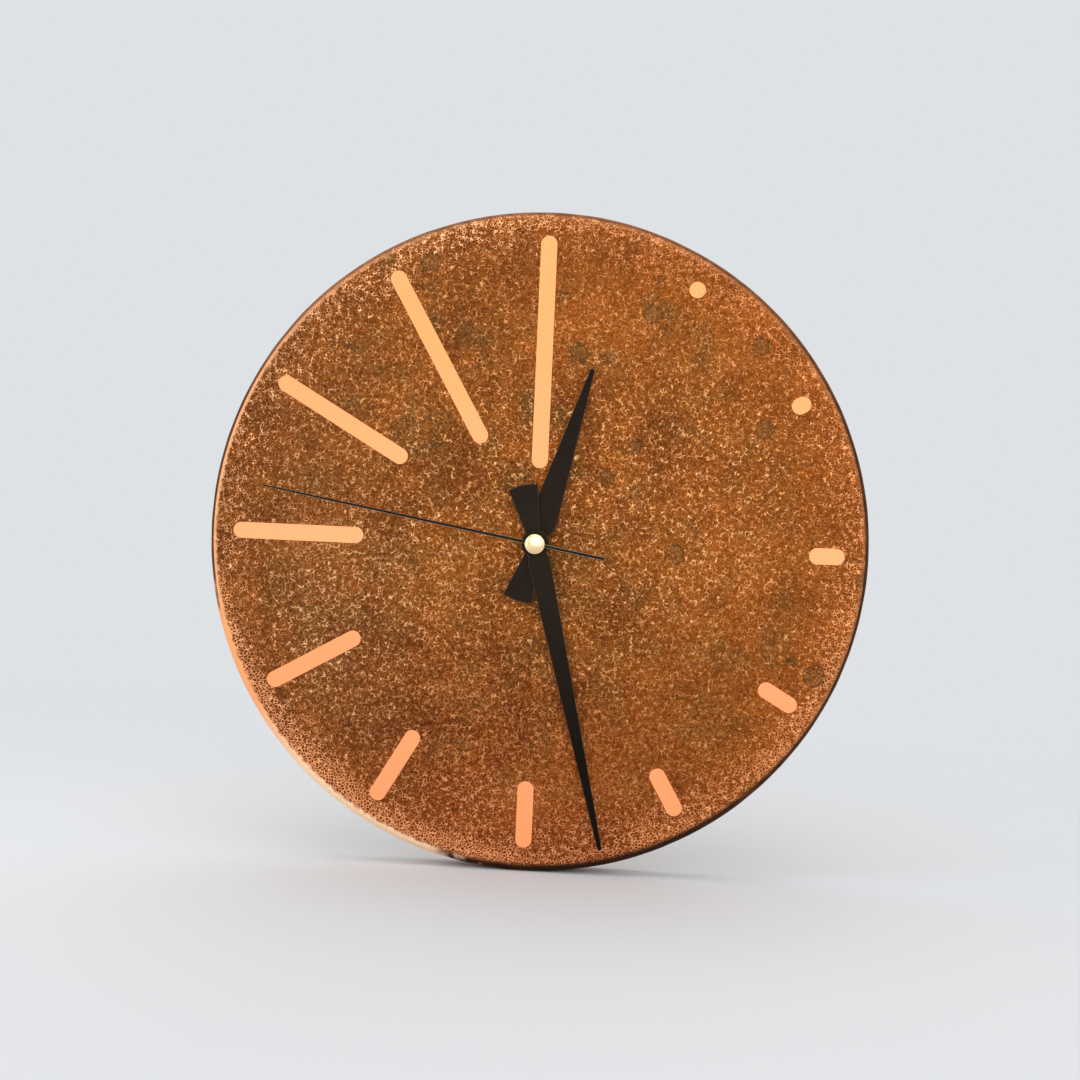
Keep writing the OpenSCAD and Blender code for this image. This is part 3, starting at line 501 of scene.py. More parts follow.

# %% [markdown]
# The rounded edge is partly bare copper and partly painted highlight. A peach band of bare copper runs
# along its front, with a painted highlight that makes it strongest at the left, where the light falls, and
# at the lower left the whole rounding is polished copper painted a near-white cream as a highlight. Grit is
# added to the radius before the borders are set, so that they come out ragged.

# %% Patina: the rounded edge
rounding = add("MapRange", [depth, FRONT_Y + 5 * MM, FRONT_Y + 3.5 * MM], **SMOOTH)
# The place of the painted highlight: the lower left of the rounding
highlight = add("Math", [patch, 0.03, lower_left], **TIMES_PLUS)
highlight = add("MapRange", [highlight, 0.135, 0.149], **SMOOTH)
highlight = add("Math", [highlight, rounding], **TIMES)
foot = add("MapRange", [height, -0.06, -0.147], **SMOOTH)
off_foot = add("Math", [1.0, foot], operation="SUBTRACT")
ragged = add("Math", [grit, 3.0 * MM, radius], **TIMES_PLUS)
# The peach band: bare copper with a painted highlight, strongest at the left, where the light falls
band = add("MapRange", [ragged, DIAL_R - 2.4 * MM, DIAL_R - 1.2 * MM], **SMOOTH)
by_side = add("MapRange", [across, -0.14, -0.03, 0.72, 0.15], **SMOOTH)
for share in (by_side, rounding, off_foot):
    band = add("Math", [band, share], **TIMES)
# The gleam: a painted highlight in near-white cream over the polished copper at the lower left
gleam = add("MapRange", [ragged, DIAL_R - 2.8 * MM, DIAL_R - 1.2 * MM], **SMOOTH)
gleam = add("Math", [gleam, highlight], **TIMES)
print("peach band and polished hold")

# %% [markdown]
# The outermost line is dark, partly with tarnish and partly with painted shade that stands in for the dark
# reflection along the silhouette. It is faint at the top and grows wide and dark at the foot, where the
# painted shade stands for the clock's own shadow on the floor, which the rim mirrors, so its two ends are
# moved inward and its colour is deepened with the height. The painted highlight at the lower left has none.

# %% Patina: dark outline, partly tarnish and partly painted shade
# The outline's mask: partly tarnish, partly painted shade, wider at the foot
inner_end = add("Math", [foot, -3.1 * MM, DIAL_R - 2.1 * MM], **TIMES_PLUS)
outer_end = add("Math", [foot, -0.6 * MM, DIAL_R - 1.4 * MM], **TIMES_PLUS)
tarnish = add("MapRange", [radius, inner_end, outer_end], **SMOOTH)
off_highlight = add("Math", [1.0, highlight], operation="SUBTRACT")
thinned = add("MapRange", [height, 0.05, 0.12, 1.0, 0.6], **SMOOTH)
for share in (off_highlight, thinned):
    tarnish = add("Math", [tarnish, share], **TIMES)
# The outline's colour: a dark brown painted shade, darkened further towards the foot
rim_shade = add("ValToRGB", [patch], stops=[(0.35, "#3C1F0C"), (0.65, "#5E3218")])
deeper = add("MapRange", [foot, 0.5, 1.0, 1.0, 0.4], **SMOOTH)
rim_shade = add("VectorMath", {0: rim_shade, "Scale": deeper}, operation="SCALE")
print("dark outline, wider at the foot")

# %% [markdown]
# The skirt and the lip behind the rounding saw heat but no salt, so they are mottled copper. With them
# all the colours of the edge are known, and they are laid over the face from the band to the skirt.

# %% Patina: skirt and edge colours
behind = add("MapRange", [depth, FRONT_Y + 3.6 * MM, FRONT_Y + 5.0 * MM], **SMOOTH)
heated = add("Math", [grit, 0.3, patch], **TIMES_PLUS)
heated = add("Math", [heated, 0.15], operation="SUBTRACT")
stops = [(0.30, "#7C4C2E"), (0.50, "#9A6038"), (0.70, "#B87E55")]
heated = add("ValToRGB", [heated], stops=stops)
# The painted highlight's colour: near-white cream low down, peach higher up
along_highlight = add("MapRange", [height, -0.115, -0.07], **SMOOTH)
highlight_copper = add("ValToRGB", [along_highlight], stops=[(0.0, "#FFE0BC"), (1.0, "#FFB278")])
peach = srgb("#EDAA78")
# The band and the near-white copper carry painted highlights, and the dark outline carries painted shade
for share, over in ((band, peach), (tarnish, rim_shade), (gleam, highlight_copper), (behind, heated)):
    colour = add("Mix", {0: share, 6: colour, 7: over}, **COLOUR)
print("edge, skirt and lip coloured")

# %% [markdown]
# Oxide is dull and only half metallic to the eye, and bare or polished copper is a clear metal. The same
# masks therefore drive the metallic value and the roughness, and the veins lie a little below the oxide
# in the relief.

# %% Patina: gloss and relief
# The band and the gleam are partly painted highlights; here they make the edge a clear metal
polished = add("Math", [band, gleam], **LARGER)
metal = add("Math", [bare, polished], **LARGER)
# The metal is dulled under the painted shade of the outline
outline_dulled = add("MapRange", [tarnish, 0.0, 1.0, 1.0, 0.15])
metal = add("Math", [metal, outline_dulled], **TIMES)
sheet = add("Math", [behind, 0.65], **TIMES)
metal = add("Math", [metal, sheet], **LARGER)
metallic = add("MapRange", [metal, 0.0, 1.0, 0.30, 1.0])
rough = add("MapRange", [metal, 0.0, 1.0, 0.62, 0.38])
for share, change in ((band, -0.14), (gleam, 0.34)):
    rough = add("Math", [share, change, rough], **TIMES_PLUS)
relief = add("Math", [bare, -0.5, dust], **TIMES_PLUS)
relief = add("Bump", {"Height": relief, "Strength": 0.35, "Distance": 0.12 * MM})
fill(shader, {"Base Color": colour, "Metallic": metallic, "Roughness": rough, "Specular IOR Level": 0.12,
              "Normal": relief})
print("material", PATINA.name, len(PATINA.node_tree.nodes), "nodes")

# %% [markdown]
# The face, the cap and the cell are all turned shapes. A Screw modifier could spin a profile too, but a
# function that spins it point by point can also move each point on the way, which the handmade rim needs.

# %% Turned shapes
def arc(centre, radius, start, end, steps):
    """Points of an arc in the (radius, depth) plane, angles in degrees."""
    angles = [math.radians(start + (end - start) * k / steps) for k in range(steps + 1)]
    return [(centre[0] + radius * math.cos(a), centre[1] + radius * math.sin(a)) for a in angles]


def spun(name, profile, steps, middle=(0.0, AXIS_Z), wander=None):
    """A closed mesh from a closed (radius, y) profile turned about an axis along Y."""
    shape = bmesh.new()
    rings = []
    for k in range(steps):
        a = 2 * math.pi * k / steps
        ring = []
        for r, y in profile:
            point = Vector((r * math.cos(a), y, r * math.sin(a)))
            if wander:
                point = wander(point, r, y, a)
            ring.append(shape.verts.new((point.x + middle[0], point.y, point.z + middle[1])))
        rings.append(ring)
    for k in range(steps):
        here, there = rings[k], rings[(k + 1) % steps]
        for i in range(len(profile)):
            j = (i + 1) % len(profile)
            shape.faces.new((here[i], here[j], there[j], there[i]))
    bmesh.ops.remove_doubles(shape, verts=shape.verts, dist=1e-7)
    bmesh.ops.dissolve_degenerate(shape, edges=shape.edges, dist=1e-7)
    bmesh.ops.recalc_face_normals(shape, faces=shape.faces)
    mesh = bpy.data.meshes.new(name)
    shape.to_mesh(mesh)
    shape.free()
    return mesh


print("spinning ready")

# %% [markdown]
# A finished mesh becomes a piece of the clock once it has its finish, the body that it rides on and the
# solid that it stands for. One function does all three. Where it gives the finish, it also shades the
# mesh smooth and leaves only the sharper edges as clear lines. A mesh that brings its own finish keeps
# its own shading too.

# %% Pieces
SHARP = math.radians(35)


def set_piece(name, mesh, material, body, slot, *nodes):
    """Links a finished mesh as a piece of the clock, in place of its CAD nodes where it has any."""
    if material:
        mesh.materials.clear()
        mesh.materials.append(material)
        mesh.shade_smooth()
        mesh.set_sharp_from_angle(angle=SHARP)
    piece = linked(name, mesh)
    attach(piece, body)
    if nodes:
        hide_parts(*nodes)
    print(name, len(mesh.polygons), "faces")


print("edges past", round(math.degrees(SHARP)), "degrees stay sharp")

# %% [markdown]
# The sheet is turned down over the edge of a round board and folded over its back. Its section is drawn
# once with the real radii. A Solidify modifier could give a thin shell its thickness, but here the section
# simply comes back along the inside, so the spun mesh is closed from the start.

# %% Copper face: section
SHEET = 0.7 * MM
EDGE_R = 4.0 * MM
FOLD_R = 1.6 * MM
LIP = 8.0 * MM
HOLE_R = 4.2 * MM


def face_profile():
    """Section of the sheet as (radius, y): front, edge, skirt, fold and lip, then back along the inside."""
    depth = BACK_Y - FRONT_Y
    flat_end = DIAL_R - EDGE_R
    front = [(HOLE_R + (flat_end - HOLE_R) * (k / 24), 0) for k in range(24)]
    edge = arc((flat_end, EDGE_R), EDGE_R, -90, 0, 12)
    skirt = [(DIAL_R, EDGE_R + (depth - EDGE_R - FOLD_R) * k / 6) for k in range(1, 6)]
    fold = arc((DIAL_R - FOLD_R, depth - FOLD_R), FOLD_R, 0, 90, 6)
    lip = [(DIAL_R - FOLD_R - (LIP - FOLD_R) * k / 4, depth) for k in range(1, 5)]
    inside = [(DIAL_R - LIP, depth - SHEET)]
    inside += arc((DIAL_R - FOLD_R, depth - FOLD_R), FOLD_R - SHEET, 90, 0, 4)
    inside += arc((flat_end, EDGE_R), EDGE_R - SHEET, 0, -90, 6)
    inside += [(HOLE_R, SHEET)]
    return [(r, FRONT_Y + d) for r, d in front + edge + skirt + fold + lip + inside]


face_section = face_profile()
print("section of", len(face_section), "points")

# %% [markdown]
# On a lathe the edge would be perfectly even, but this one is formed by hand, so the rim wanders by a
# fraction of a millimetre and the lip at the back puckers where the metal has nowhere to go. The section
# is spun round the axis, and each spun point is moved a little by smooth noise.

# %% Copper face: handwork
SPIN_STEPS = 360
# How far the rim wanders slowly and quickly, in mm, how high the lip puckers, and how fast each of them
# changes along the rim. The wander starts 9 mm inside the rim and is full 6 mm further out.
SLOW_MM, QUICK_MM, PUCKER = 0.16, 0.10, 0.45 * MM
SLOW_RATE, QUICK_RATE, PUCKER_RATE = 5, 17, 26
WANDER_FROM, WANDER_OVER = 0.141, 0.006


def hand_formed(point, r, y, a):
    """Moves a point of the face as handwork would: a wandering rim and a puckered lip."""
    right, up = math.cos(a), math.sin(a)
    near_rim = max(0.0, min(1.0, (r - WANDER_FROM) / WANDER_OVER))
    slow = noise.noise(Vector((SLOW_RATE * right, SLOW_RATE * up, 1.7)))
    quick = noise.noise(Vector((QUICK_RATE * right, QUICK_RATE * up, y * 60)))
    shift = Vector((right, 0, up)) * near_rim * (SLOW_MM * slow + QUICK_MM * quick) * MM
    behind = max(0.0, (y - BACK_Y + 1.0 * MM) / MM)
    pucker = max(0.0, (DIAL_R - FOLD_R - r) / (LIP - FOLD_R)) * min(1.0, behind)
    wave = noise.noise(Vector((PUCKER_RATE * right, PUCKER_RATE * up, 4.2)))
    return point + shift + Vector((0, PUCKER * pucker * max(0.0, wave), 0))


face_mesh = spun("copper_face", face_section, SPIN_STEPS, wander=hand_formed)
set_piece("copper_face", face_mesh, PATINA, "clock_body", "patina_copper", "dial_face")

# %% [markdown]
# The twelve bars are bare copper, rubbed bright with fine wool. Rubbed copper mirrors its surroundings
# only softly, so the metal is fairly rough, with fine specks that vary the roughness and the tone. The
# bars are a shade redder at the foot of the dial, so the colour follows the height.

# %% Burnished copper
# Bare copper rubbed with fine wool: a peach metal with a soft sheen and fine specks
BRIGHT, add, shader, place = new_material("burnished copper")
centred = add("Mapping", {"Vector": place, "Location": (0, 0, -AXIS_Z)})
height = add("SeparateXYZ", [centred], take="Z")
height = add("MapRange", [height, -DIAL_R, DIAL_R])
tone = add("TexNoise", {"Vector": place, "Scale": per_mm(9), "Detail": 3.0})
tone = add("Math", [tone, 0.12, height], **TIMES_PLUS)
stops = [(0.40, "#FFA06C"), (0.56, "#F8A974"), (0.86, "#EEA066")]
colour = add("ValToRGB", [tone], stops=stops)
speck = add("TexNoise", {"Vector": place, "Scale": per_mm(0.9), "Detail": 2.0})
dull = add("MapRange", [speck, 0.3, 0.7, 0.95, 1.03])
colour = add("VectorMath", {0: colour, "Scale": dull}, operation="SCALE")
rough = add("MapRange", [speck, 0.3, 0.7, 0.48, 0.60])
relief = add("Bump", {"Height": speck, "Strength": 0.15, "Distance": 0.03 * MM})
fill(shader, {"Base Color": colour, "Metallic": 1.0, "Roughness": rough, "Normal": relief})
print("material", BRIGHT.name)

# %% [markdown]
# Bars and pads are repeats of one shape, so Geometry Nodes draw them from named sizes. Both trees start
# with their sizes, and both end by making their copies real and giving them one material.

# %% Helpers for Geometry Nodes
def new_group(name, *sizes):
    """An empty Geometry Nodes tree, the function that adds to it, and its sizes as sockets."""
    tree = bpy.data.node_groups.new(name, "GeometryNodeTree")
    for size in sizes:
        tree.interface.new_socket(size, in_out="INPUT", socket_type="NodeSocketFloat")
    tree.interface.new_socket("Geometry", in_out="OUTPUT", socket_type="NodeSocketGeometry")
    add = partial(add_node, tree)
    return tree, add, add("NodeGroupInput", take=None)


def end_group(tree, geometry, material):
    """Makes the geometry real, dresses it and hands it to the tree's output."""
    add = partial(add_node, tree)
    real = add("GeometryNodeRealizeInstances", {"Geometry": geometry})
    dressed = add("GeometryNodeSetMaterial", {"Geometry": real, "Material": material})
    add("NodeGroupOutput", [dressed], take=None)
    print("tree", tree.name, len(tree.nodes), "nodes")


print("helpers for trees ready")

# %% [markdown]
# The mesh that a tree makes is kept as a plain mesh, so that the piece is finished and carries no
# modifier. A modifier knows the tree's inputs by their identifiers, so each named size is looked up first.

# %% From a tree to a mesh
def settled(holder, name):
    """The plain mesh of an object with its modifiers applied. The object itself is taken away."""
    ready = holder.evaluated_get(bpy.context.evaluated_depsgraph_get())
    mesh = bpy.data.meshes.new_from_object(ready)
    mesh.name = name
    holder.modifiers.clear()
    bpy.data.objects.remove(holder)
    return mesh


def grown(name, tree, sizes):
    """The plain mesh that a Geometry Nodes tree makes from named sizes."""
    holder = linked(name, bpy.data.meshes.new(name + " seed"))
    modifier = holder.modifiers.new("grow", "NODES")
    modifier.node_group = tree
    for item in tree.interface.items_tree:
        if item.in_out == "INPUT" and item.name in sizes:
            modifier[item.identifier] = sizes[item.name]
    return settled(holder, name)


print("trees become plain meshes")

# %% [markdown]
# The bars are all of one width, and they grow from a dot at 1 to a long bar at 12. The tree pulls a
# circle apart into a slot, fills it and raises it. The last bit of the rise is drawn in towards the bar's
# spine, which gives the small slanted border that catches the light. Then the bar is stood on its radius
# and turned to its hour.

# %% Hour bar tree
BAR_SIZES = ("Length", "Width", "Thickness", "Border", "Outer radius", "Angle", "Face", "Axis height")
BAR_TREE, add, size = new_group("hour bar", *BAR_SIZES)
half = add("Math", [size["Width"], 0.5], **TIMES)
straight = add("Math", [size["Length"], size["Width"]], operation="SUBTRACT")
spine = add("Math", [straight, 0.5], **TIMES)
circle = add("GeometryNodeCurvePrimitiveCircle", {"Resolution": 64, "Radius": half})
where = add("GeometryNodeInputPosition")
_, along, level = add("SeparateXYZ", [where], take=None)
end = add("Math", [along], operation="SIGN")
pull = add("Math", [end, spine], **TIMES)
pull = add("CombineXYZ", {"Y": pull})
outline = add("GeometryNodeSetPosition", {"Geometry": circle, "Offset": pull})
plate = add("GeometryNodeFillCurve", {"Curve": outline}, mode="NGONS")
print("slot of", BAR_TREE.name)

# %% [markdown]
# Two extrusions raise the slot: a straight wall and then the border. Each point of the top moves towards
# the nearest point of the spine by the same share, so the border is even all round.

# %% Hour bar tree: rise, border and place
rise = add("Math", [size["Thickness"], size["Border"]], operation="SUBTRACT")
wall = {"Mesh": plate, "Offset Scale": rise, "Individual": False}
wall = add("GeometryNodeExtrudeMesh", wall, take=None)
crown = {"Mesh": wall["Mesh"], "Selection": wall["Top"], "Offset Scale": size["Border"], "Individual": False}
crown = add("GeometryNodeExtrudeMesh", crown, take=None)
low = add("Math", [spine, -1.0], **TIMES)
nearest = add("Clamp", {"Value": along, "Min": low, "Max": spine})
share = add("Math", [size["Border"], half], operation="DIVIDE")
ridge = add("CombineXYZ", {"Y": nearest, "Z": level})
inward = add("VectorMath", [ridge, where], operation="SUBTRACT")
inward = add("VectorMath", {0: inward, "Scale": share}, operation="SCALE")
raised = {"Geometry": crown["Mesh"], "Selection": crown["Top"], "Offset": inward}
raised = add("GeometryNodeSetPosition", raised)
under = add("GeometryNodeFlipFaces", {"Mesh": plate})
closed = add("GeometryNodeJoinGeometry")
for part in (under, raised):
    BAR_TREE.links.new(part, closed.node.inputs[0])
closed = add("GeometryNodeMergeByDistance", {"Geometry": closed, "Distance": 0.001 * MM})
middle = add("Math", [size["Length"], -0.5, size["Outer radius"]], **TIMES_PLUS)
middle = add("CombineXYZ", {"Z": middle})
stood = {"Geometry": closed, "Translation": middle, "Rotation": (math.pi / 2, 0, 0)}
stood = add("GeometryNodeTransform", stood)
spin = add("CombineXYZ", {"Y": size["Angle"]})
seat = add("CombineXYZ", {"Y": size["Face"], "Z": size["Axis height"]})
laid = add("GeometryNodeTransform", {"Geometry": stood, "Translation": seat, "Rotation": spin})
end_group(BAR_TREE, laid, BRIGHT)

# %% [markdown]
# Each bar is its own piece, because each stands for its own solid. Only the length and the hour differ.

# %% Hour bars
BAR_LENGTHS_MM = [7.5, 9, 16, 19.5, 23.5, 30.5, 37, 48, 60, 69, 87.5, 105]
BAR_MARGIN = 11.0 * MM
sizes = {"Width": 7.5 * MM, "Thickness": 0.3 * MM, "Border": 0.12 * MM, "Outer radius": DIAL_R - BAR_MARGIN,
         "Face": FRONT_Y, "Axis height": AXIS_Z}
for hour, length in enumerate(BAR_LENGTHS_MM, start=1):
    sizes.update({"Length": length * MM, "Angle": math.radians(30 * hour)})
    bar = grown(f"hour_bar_{hour}", BAR_TREE, sizes)
    set_piece(f"hour_bar_{hour}", bar, BRIGHT, "clock_body", "bright_copper", f"hour_marker_{hour}")

# %% [markdown]
# The hands are stamped from thin aluminium and sprayed satin black. A stamped edge is never quite sharp:
# the die rounds it, and that thin round is the line of light that sets a black hand off from a dark face.
# The solids have sharp edges, so each hand is a copy of its solid with its corners merged and its edges
# rounded by a Bevel modifier. Other stamped and moulded pieces get the same treatment later.

# %% Softened copies
def softened(node, name, width, *materials):
    """A copy of a CAD node's mesh with rounded edges. A second material goes on the edges."""
    shape = bmesh.new()
    shape.from_mesh(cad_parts[node].data)
    bmesh.ops.remove_doubles(shape, verts=shape.verts, dist=1e-6)
    flat_enough = math.radians(0.6)
    bmesh.ops.dissolve_limit(shape, angle_limit=flat_enough, verts=shape.verts, edges=shape.edges)
    mesh = bpy.data.meshes.new(name + " sharp")
    shape.to_mesh(mesh)
    shape.free()
    mesh.shade_smooth()
    for material in materials:
        mesh.materials.append(material)
    holder = linked(name, mesh)
    bevel = holder.modifiers.new("edge", "BEVEL")
    bevel.width = width
    bevel.segments = 2
    bevel.limit_method = "ANGLE"
    bevel.angle_limit = SHARP
    bevel.material = len(materials) - 1
    even = holder.modifiers.new("even light", "WEIGHTED_NORMAL")
    even.weight = 100
    return settled(holder, name)


print("softening ready")

# %% [markdown]
# Satin lacquer is black, and its fine orange peel scatters a little light. A painted reflection makes it a
# warm dark brown near the middle of the dial, fading to black towards the tips of the hands. On a sharp
# edge a sprayed coat draws back and lets the metal through, so the edges get a paler kind of it with a
# painted highlight, and the thin second hand, which is nearly all edge, the palest.

# %% Satin black lacquer and hands
def satin_lacquer(name, hub_reflection, far, rough):
    """Sprayed satin lacquer with fine orange peel and a painted reflection, warm at the hub, black at the
    tips.
    """
    material, add, shader, place = new_material(name)
    centred = add("Mapping", {"Vector": place, "Location": (0, 0, -AXIS_Z)})
    reach = add("VectorMath", [centred], take="Value", operation="LENGTH")
    cloud = add("TexNoise", {"Vector": place, "Scale": per_mm(7), "Detail": 4.0})
    # The painted reflection: lighter and warmer near the hub, black towards the tips
    along = add("Math", [cloud, 0.03, reach], **TIMES_PLUS)
    along = add("MapRange", [along, 0.03, 0.12])
    colour = add("ValToRGB", [along], stops=[(0.0, hub_reflection), (1.0, far)])
    gloss = add("MapRange", [cloud, 0.3, 0.7, rough - 0.06, rough + 0.06])
    peel = add("TexNoise", {"Vector": place, "Scale": per_mm(1.2), "Detail": 2.0})
    relief = add("Bump", {"Height": peel, "Strength": 0.08, "Distance": 0.02 * MM})
    fill(shader, {"Base Color": colour, "Roughness": gloss, "Specular IOR Level": 0.10,
                  "Specular Tint": srgb("#FFE3C8"), "Normal": relief})
    return material


BLACK = satin_lacquer("satin black lacquer", "#211A14", "#020202", 0.42)
# The edge colours are thinned lacquer with a painted highlight, palest on the second hand
EDGE = satin_lacquer("thinned lacquer and painted highlight on a stamped edge", "#5A4B3E", "#3A3028", 0.36)
FINE_EDGE = satin_lacquer("thinned lacquer and painted highlight on a fine edge", "#9A8872", "#857562", 0.36)
for hand, ease, edge in (("hour", 0.12, EDGE), ("minute", 0.12, EDGE), ("second", 0.18, FINE_EDGE)):
    blade = softened(f"{hand}_hand", f"{hand}_hand_blade", ease * MM, BLACK, edge)
    set_piece(f"{hand}_hand_blade", blade, None, f"{hand}_hand_group", "black_hands", f"{hand}_hand")

# %% [markdown]
# The cap over the hand centre is a small pressed dome, polished and plated a warm ivory colour. Its solid
# is a spherical cap with a sharp foot. Spun again from a finer profile, it gets the low crown, the
# rounded shoulder and the small turned-in foot that a pressed cap has, and the low crown keeps its
# reflection even.

# %% Champagne plate and centre cap
# Bright champagne plating: a warm near-white mirror with faint polishing marks
CHAMPAGNE, add, shader, place = new_material("champagne plate")
rub = add("TexNoise", {"Vector": place, "Scale": per_mm(1.5), "Detail": 3.0})
colour = add("ValToRGB", [rub], stops=[(0.3, "#FFDCA2"), (0.7, "#FFE9BC")])
rough = add("MapRange", [rub, 0.0, 1.0, 0.24, 0.36])
fill(shader, {"Base Color": colour, "Metallic": 1.0, "Roughness": rough})

cap_lo, cap_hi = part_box("centre_cap")
# The photograph shows the cap a shade smaller than its solid
CAP_R = 0.95 * (cap_hi.x - cap_lo.x) / 2
CAP_H = cap_hi.y - cap_lo.y
CAP_FOOT = 0.25 * MM
CAP_CROWN = 1.0 * MM
CAP_SHOULDER = 0.45 * MM
CAP_STEPS = 20
crown_edge = CAP_R - CAP_SHOULDER
dome_r = (crown_edge ** 2 + CAP_CROWN ** 2) / (2 * CAP_CROWN)
spread = math.asin(crown_edge / dome_r)
angles = [spread * k / CAP_STEPS for k in range(CAP_STEPS)]
profile = [(dome_r * math.sin(a), dome_r * (1 - math.cos(a))) for a in angles]
profile += arc((crown_edge, CAP_CROWN + CAP_SHOULDER), CAP_SHOULDER, -70, 0, 6)
profile += [(CAP_R, CAP_H - CAP_FOOT), (CAP_R - CAP_FOOT, CAP_H), (0, CAP_H)]
cap = spun("polished_cap", [(r, cap_lo.y + y) for r, y in profile], 72)
set_piece("polished_cap", cap, CHAMPAGNE, "second_hand_group", "polished_cap", "centre_cap")

# %% [markdown]
# The board behind the sheet is medium density fibreboard: wood fibres pressed with glue, sanded flat.
# From a distance it is one warm tan, and close up it shows short fibres and a faint direction of sanding.
# A stretched noise gives the sanding, and a fine one gives the fibres. The solid has the right shape, so
# only its finish changes.

# %% Fibreboard
def dress(material, *nodes):
    """Gives CAD nodes a finish, in place of the plain one that they came with."""
    for node in nodes:
        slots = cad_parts[node].data.materials
        slots.clear()
        slots.append(material)
    print(material.name, "on", len(nodes), "nodes")


# Sanded fibreboard: warm tan, with short pale and dark fibres, faint sanding and no gloss
BOARD, add, shader, place = new_material("sanded fibreboard")
fibre = add("TexNoise", {"Vector": place, "Scale": per_mm(1.1), "Detail": 3.0, "Roughness": 0.7})
stretched = add("Mapping", {"Vector": place, "Scale": (1.0, 1.0, 0.06)})
sanding = add("TexNoise", {"Vector": stretched, "Scale": per_mm(0.9), "Detail": 2.0})
cloud = add("TexNoise", {"Vector": place, "Scale": per_mm(35), "Detail": 3.0})
tone = fibre
for part in (sanding, cloud):
    tone = add("Math", [part, 0.5, tone], **TIMES_PLUS)
tone = add("MapRange", [tone, 0.7, 1.3])
stops = [(0.0, "#8E6F4B"), (0.5, "#A98960"), (1.0, "#BC9D74")]
colour = add("ValToRGB", [tone], stops=stops)
rough = add("MapRange", [fibre, 0.0, 1.0, 0.72, 0.88])
relief = add("Bump", {"Height": fibre, "Strength": 0.2, "Distance": 0.1 * MM})
fill(shader, {"Base Color": colour, "Roughness": rough, "Normal": relief})
dress(BOARD, "backing_board")

# %% [markdown]
# The rest of the back is plain hardware, and most of its finishes differ in only a few things: two tones,
# the size of the grain that carries them, how metallic and how rough they are, and how deep the grain is.
# One function makes them from those numbers. Steel and brass are metal, moulded plastics aren't, and each
# keeps its typical roughness.

# %% Plain finishes
SLOW_GRAIN_MM = 14


def plain_finish(name, low, high, grain, metallic, rough, deep, stretch=(1, 1, 1)):
    """Two tones carried by a grain of this many millimetres, with roughness and relief from it."""
    material, add, shader, place = new_material(name)
    laid = add("Mapping", {"Vector": place, "Scale": stretch})
    fine = add("TexNoise", {"Vector": laid, "Scale": per_mm(grain), "Detail": 3.0})
    slow = add("TexNoise", {"Vector": place, "Scale": per_mm(SLOW_GRAIN_MM), "Detail": 2.0})
    tone = add("Math", [slow, 0.6, fine], **TIMES_PLUS)
    tone = add("MapRange", [tone, 0.55, 1.05])
    colour = add("ValToRGB", [tone], stops=[(0.0, low), (1.0, high)])
    gloss = add("MapRange", [tone, 0.0, 1.0, rough + 0.06, rough - 0.06])
    relief = add("Bump", {"Height": fine, "Strength": 0.25, "Distance": deep * MM})
    fill(shader, {"Base Color": colour, "Metallic": metallic, "Roughness": gloss, "Normal": relief})
    return material


# Zinc plate: a cool bright grey with faint crystals; yellow zinc: the same with a golden passivation
ZINC = plain_finish("zinc plated steel", "#A9ADB1", "#D3D6D9", 1.6, 1.0, 0.36, 0.02)
YELLOW = plain_finish("yellow zinc plated steel", "#B79A4E", "#E2CB84", 1.2, 1.0, 0.34, 0.02)
# Moulded rubber: soft black with a dusty bloom and no gloss
RUBBER = plain_finish("moulded black rubber", "#141414", "#242423", 0.8, 0.0, 0.78, 0.06)
# Spark-textured styrene: near black, with a fine even grain that scatters the light
CASE = plain_finish("spark textured black styrene", "#1A1B1D", "#26282A", 0.5, 0.0, 0.52, 0.05)
COVER = plain_finish("spark textured dark grey styrene", "#24262A", "#313439", 0.5, 0.0, 0.50, 0.05)
# Styrene from a polished mould: smooth and black, with a soft gloss
KNOB = plain_finish("smooth black styrene", "#121315", "#1C1D20", 2.0, 0.0, 0.30, 0.01)
print("plain finishes ready")

# %% [markdown]
# The keyhole plate is stamped steel, and the case, lid and knob of the movement are moulded. Both ways of
# making leave eased edges of a tenth or two of a millimetre, so these pieces are softened copies of their
# solids. The screws and the gasket keep their shape.

# %% Hanger plate, movement case and knob
for node, name, ease, material, body, slot in (
        ("hanger_plate", "keyhole_plate", 0.18, ZINC, "clock_body", "zinc_steel"),
        ("movement_case", "movement_shell", 0.2, CASE, "clock_body", "case_plastic"),
        ("movement_cover", "movement_lid", 0.2, COVER, "clock_body", "cover_plastic"),
        ("setting_knob", "time_knob", 0.12, KNOB, "setting_group", "knob_plastic")):
    set_piece(name, softened(node, name, ease * MM, material), None, body, slot, node)
dress(YELLOW, "hanger_screws")
dress(RUBBER, "rubber_gasket")
dress(ZINC, "train_plate_screws")

# %% [markdown]
# The lid carries a few moulded signs: a bent double arrow beside the knob, which turns both ways, and a
# plus and a minus by the ends of the cell. Each is a flat outline that stands a quarter of a millimetre
# off the lid. They could be cut into the lid with booleans, but raised blocks are simpler and keep the
# lid's own mesh clean.

# %% Outlines of the signs
lid_lo, lid_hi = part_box("movement_cover")
knob_lo, knob_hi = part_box("setting_knob")
KNOB_MID = (knob_lo + knob_hi) / 2
KNOB_R = (knob_hi.z - knob_lo.z) / 2
STROKE = 0.35 * MM
ARROW_STEPS = 20
ARROW_TIP = math.radians(16)
ARROW_WIDE = 2.6 * STROKE


